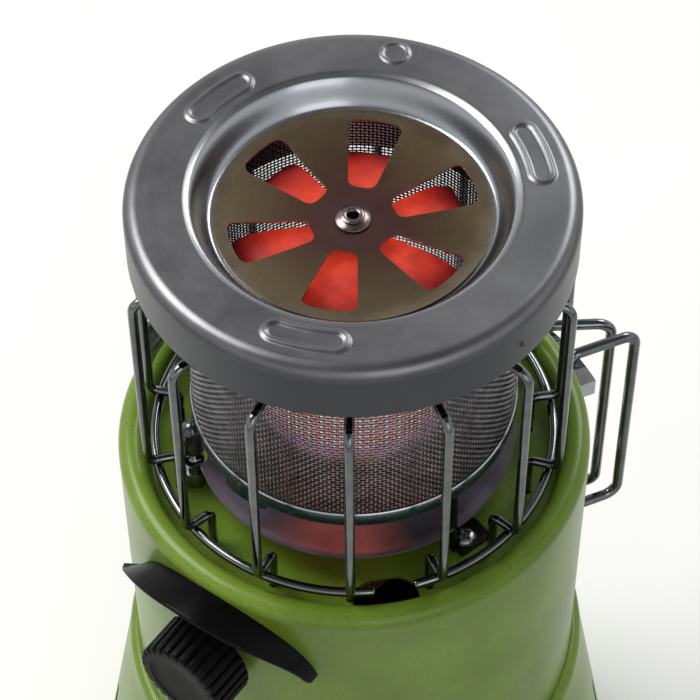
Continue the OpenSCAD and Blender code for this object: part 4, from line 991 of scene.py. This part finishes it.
hoodVerts, hoodFaces, halfWall = [], [], hood["wall"] / 2
fromRight, toLeft = asin(hood["rightRise"] / hood["r"]), pi - asin(hood["leftRise"] / hood["r"])
edgeArc = arc(0.0, 0.0, halfWall, -90, 90, 8)             # rounded front edge
for i in range(hood["steps"] + 1):
    t = i / hood["steps"]
    a = fromRight + (toLeft - fromRight) * t
    nearEnd = min(t, 1 - t) * (toLeft - fromRight) * hood["r"]
    taper = sqrt(min(nearEnd / hood["taper"], 1.0))
    wing = hood["flareFrom"] * pi                         # from here the left end flares like a wing
    lift = hood["flare"] * max((a - wing) / (toLeft - wing), 0.0) ** 2
    rim = (hood["r"] + lift) * cos(a)
    out = hoodReach(rim) * (1 - hood["blunt"] * (1 - taper))
    front = sqrt((drum["r"] + hood["seat"]) ** 2 - rim * rim) + out
    section = [(None, -halfWall)] + [(front - halfWall + x, d) for x, d in edgeArc] + [(None, halfWall)]
    for x, d in section:
        r = hood["r"] - halfWall + d + (0.0 if x is None else lift)
        y, z = r * cos(a), drum["pinZ"] + r * sin(a)
        seat = sqrt((drum["r"] + hood["skin"]) ** 2 - y * y)
        hoodVerts.append(turned(knobAz, seat if x is None else max(x, seat), y, z))
    n = len(section)
    if i:
        hoodFaces += band((i - 1) * n, i * n, n)
hoodFaces += [tuple(range(n)), tuple(range(hood["steps"] * n, (hood["steps"] + 1) * n))[::-1]]
pins = [rod(turned(knobAz, seat - hood["pinIn"], y, z), turned(knobAz, seat + hood["pinOut"], y, z),
            hood["pinR"], 16)
        for y, z, seat in map(hoodPin, drum["pinAngles"])]
piece("hood_arch", joined((hoodVerts, hoodFaces), *pins), hoodGloss, stands=("knob_hood",),
      sharp=40)
print("hood made")

# knob: wide ridges with narrow grooves between them
# ridge: share of its turn, height; length: distance from the back, size; face: distance from the back, radius
knob = {"back": 89.8, "r": 18.0, "groove": 16.7, "ridges": 28,
        "ridge": ((0.0, 0.0), (0.08, 0.02), (0.15, 0.55), (0.20, 0.86), (0.30, 0.97), (0.5, 1.0), (0.7, 0.97),
                  (0.80, 0.86), (0.85, 0.55), (0.92, 0.02)),
        "length": ((0.0, 0.96), (0.5, 1.0), (4.0, 1.0), (9.0, 1.0), (14.0, 1.0), (16.6, 1.0), (17.3, 0.985),
                   (17.8, 0.955), (18.0, 0.915)),
        "face": ((18.0, 14.6), (18.0, 13.4), (17.7, 13.1), (17.6, 12.8), (17.6, 6.0), (17.6, 1.0))}
turns = [2 * pi * (j + u) / knob["ridges"] for j in range(knob["ridges"]) for u, high in knob["ridge"]]
outer = [knob["groove"] + (knob["r"] - knob["groove"]) * high for u, high in knob["ridge"]] * knob["ridges"]
rings = [(x, [r * size for r in outer]) for x, size in knob["length"]]
rings += [(x, [r] * len(turns)) for x, r in knob["face"]]
knobVerts, knobFaces, m = [], [], len(turns)
for i, (x, radii) in enumerate(rings):
    out = knob["back"] + x
    knobVerts += [turned(knobAz, out, r * cos(a), knobZ + r * sin(a)) for a, r in zip(turns, radii)]
    if i:
        knobFaces += band((i - 1) * m, i * m, m)
knobFaces += [tuple(range(m))[::-1], tuple(range((len(rings) - 1) * m, len(rings) * m))]
piece("knob_grip", (knobVerts, knobFaces), knobBlack, body="knob", stands=("control_knob",),
      sharp=35)
print("knob made")

# two wire loops of the handle, each turned out from its own pivot
loops = {"r": 2.2, "arm": 28.0, "top": 255.0, "low": 150.0, "pin": 13.0, "bends": (3.2, 6.0, 6.0, 3.2),
         "turns": {"front": 22.7, "rear": 2.2}}
for side, turn in loops["turns"].items():
    x, y, z = joints[f"{side}_loop_swing"]["pos_m"]
    foot = Vector((x / mm, y / mm, 0))
    out = foot + Vector((cos(radians(turn)), sin(radians(turn)), 0)) * loops["arm"]
    up, down = Vector((0, 0, loops["top"])), Vector((0, 0, loops["low"]))
    pinEnd = Vector((0, 0, loops["pin"]))
    corners = [foot + up - pinEnd, foot + up, out + up, out + down, foot + down, foot + down + pinEnd]
    piece(f"loop_{side}", tube(bentPath(corners, loops["bends"], 10), loops["r"], 20), wireChrome,
          body=f"{side}_loop", stands=(f"handle_{side}",), sharp=50)
print("handle made")

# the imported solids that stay, with their finishes
kept = {"ballast_ring": ballastPaint, "rubber_feet": footRubber, "hood_clips": zincSteel,
        "hinge_lugs": plateChrome, "lug_rivets": zincSteel, "tile_gasket": gasketFibre,
        "mixing_tube": burnerSteel, "tube_flange": zincSteel, "flange_screws": zincSteel,
        "ignition_lead": leadRubber, "piezo_unit": piezoBlack, "valve_body": valveBrass,
        "valve_hanger": zincSteel, "hanger_screws": zincSteel, "valve_bolts": zincSteel,
        "packing_nut": valveBrass, "gas_jet": valveBrass, "regulator_body": valveBrass,
        "diaphragm": leadRubber, "regulator_cover": valveBrass, "regulator_screws": zincSteel,
        "inlet_collar": valveBrass, "inlet_seal": leadRubber, "valve_spindle": valveBrass}
softened = ("hinge_lugs", "ballast_ring", "piezo_unit", "regulator_body", "regulator_cover", "valve_body",
            "inlet_collar", "valve_hanger")
for name, look in kept.items():
    part = nodes[name]
    if not part.material_slots:
        part.data.materials.append(look)
    for spot in part.material_slots:
        spot.material = look
    if name in softened:
        bevelled(part, 0.4)
print("packed solids dressed")

# table, lamps and surroundings
table = {"half": 4.0, "tones": ((220, 220, 218), (228, 228, 226))}
corners = [(x * table["half"], y * table["half"], 0) for x, y in ((-1, -1), (1, -1), (1, 1), (-1, 1))]
tableData = bpy.data.meshes.new("table_top")
tableData.from_pydata(corners, [], [(0, 1, 2, 3)])
tableTop = bpy.data.objects.new("table_top", tableData)
bpy.context.scene.collection.objects.link(tableTop)
tableLook, tree, shader, place = bare("pale table", Roughness=0.7)
plug(shader, "Base Color", twoTone(tree, noise(tree, place, 3.0), *table["tones"]))
tableData.materials.append(tableLook)

# name, place, size, watts and colour of each lamp, in metres
lamps = (("key", (-0.9, 0.35, 1.55), 0.9, 26.0, (1.0, 0.99, 0.97)),
         ("back", (0.75, 1.15, 1.35), 0.7, 12.0, (0.97, 0.99, 1.0)),
         ("front", (0.6, -1.5, 1.3), 1.1, 6.0, (1.0, 1.0, 1.0)))
lampAim = Vector((0.0, 0.0, 0.3))
for name, at, size, power, colour in lamps:
    data = bpy.data.lights.new(name, "AREA")
    data.shape, data.size, data.energy, data.color = "SQUARE", size, power, colour
    lamp = bpy.data.objects.new(name, data)
    bpy.context.scene.collection.objects.link(lamp)
    lamp.location = at
    lamp.rotation_euler = (lampAim - Vector(at)).to_track_quat("-Z", "Y").to_euler()

studio = {"white": 1.0, "ceiling": 0.22, "fill": 0.42}
world = bpy.data.worlds.new("studio")
bpy.context.scene.world = world
world.use_nodes = True
tree = world.node_tree
tree.nodes.clear()
rays = add(tree, "LightPath").outputs
seen = mathNode(tree, "MAXIMUM", rays["Is Camera Ray"], rays["Is Glossy Ray"])
seen = mathNode(tree, "MAXIMUM", seen, rays["Is Transmission Ray"])
rise = add(tree, "SeparateXYZ", {0: add(tree, "TexCoord").outputs["Generated"]}).outputs["Z"]
backdrop = ramp(tree, rise, [(0.42, studio["white"]), (0.80, studio["ceiling"])])      # greyer overhead
showing = add(tree, "Background", {"Color": backdrop, "Strength": 1.0}).outputs[0]
fill = add(tree, "Background", {"Color": shade(1.0), "Strength": studio["fill"]}).outputs[0]
light = add(tree, "MixShader", {0: seen, 1: fill, 2: showing}).outputs[0]
add(tree, "OutputWorld", {"Surface": light})
bpy.context.scene.view_settings.view_transform = "Standard"
print("studio lit")
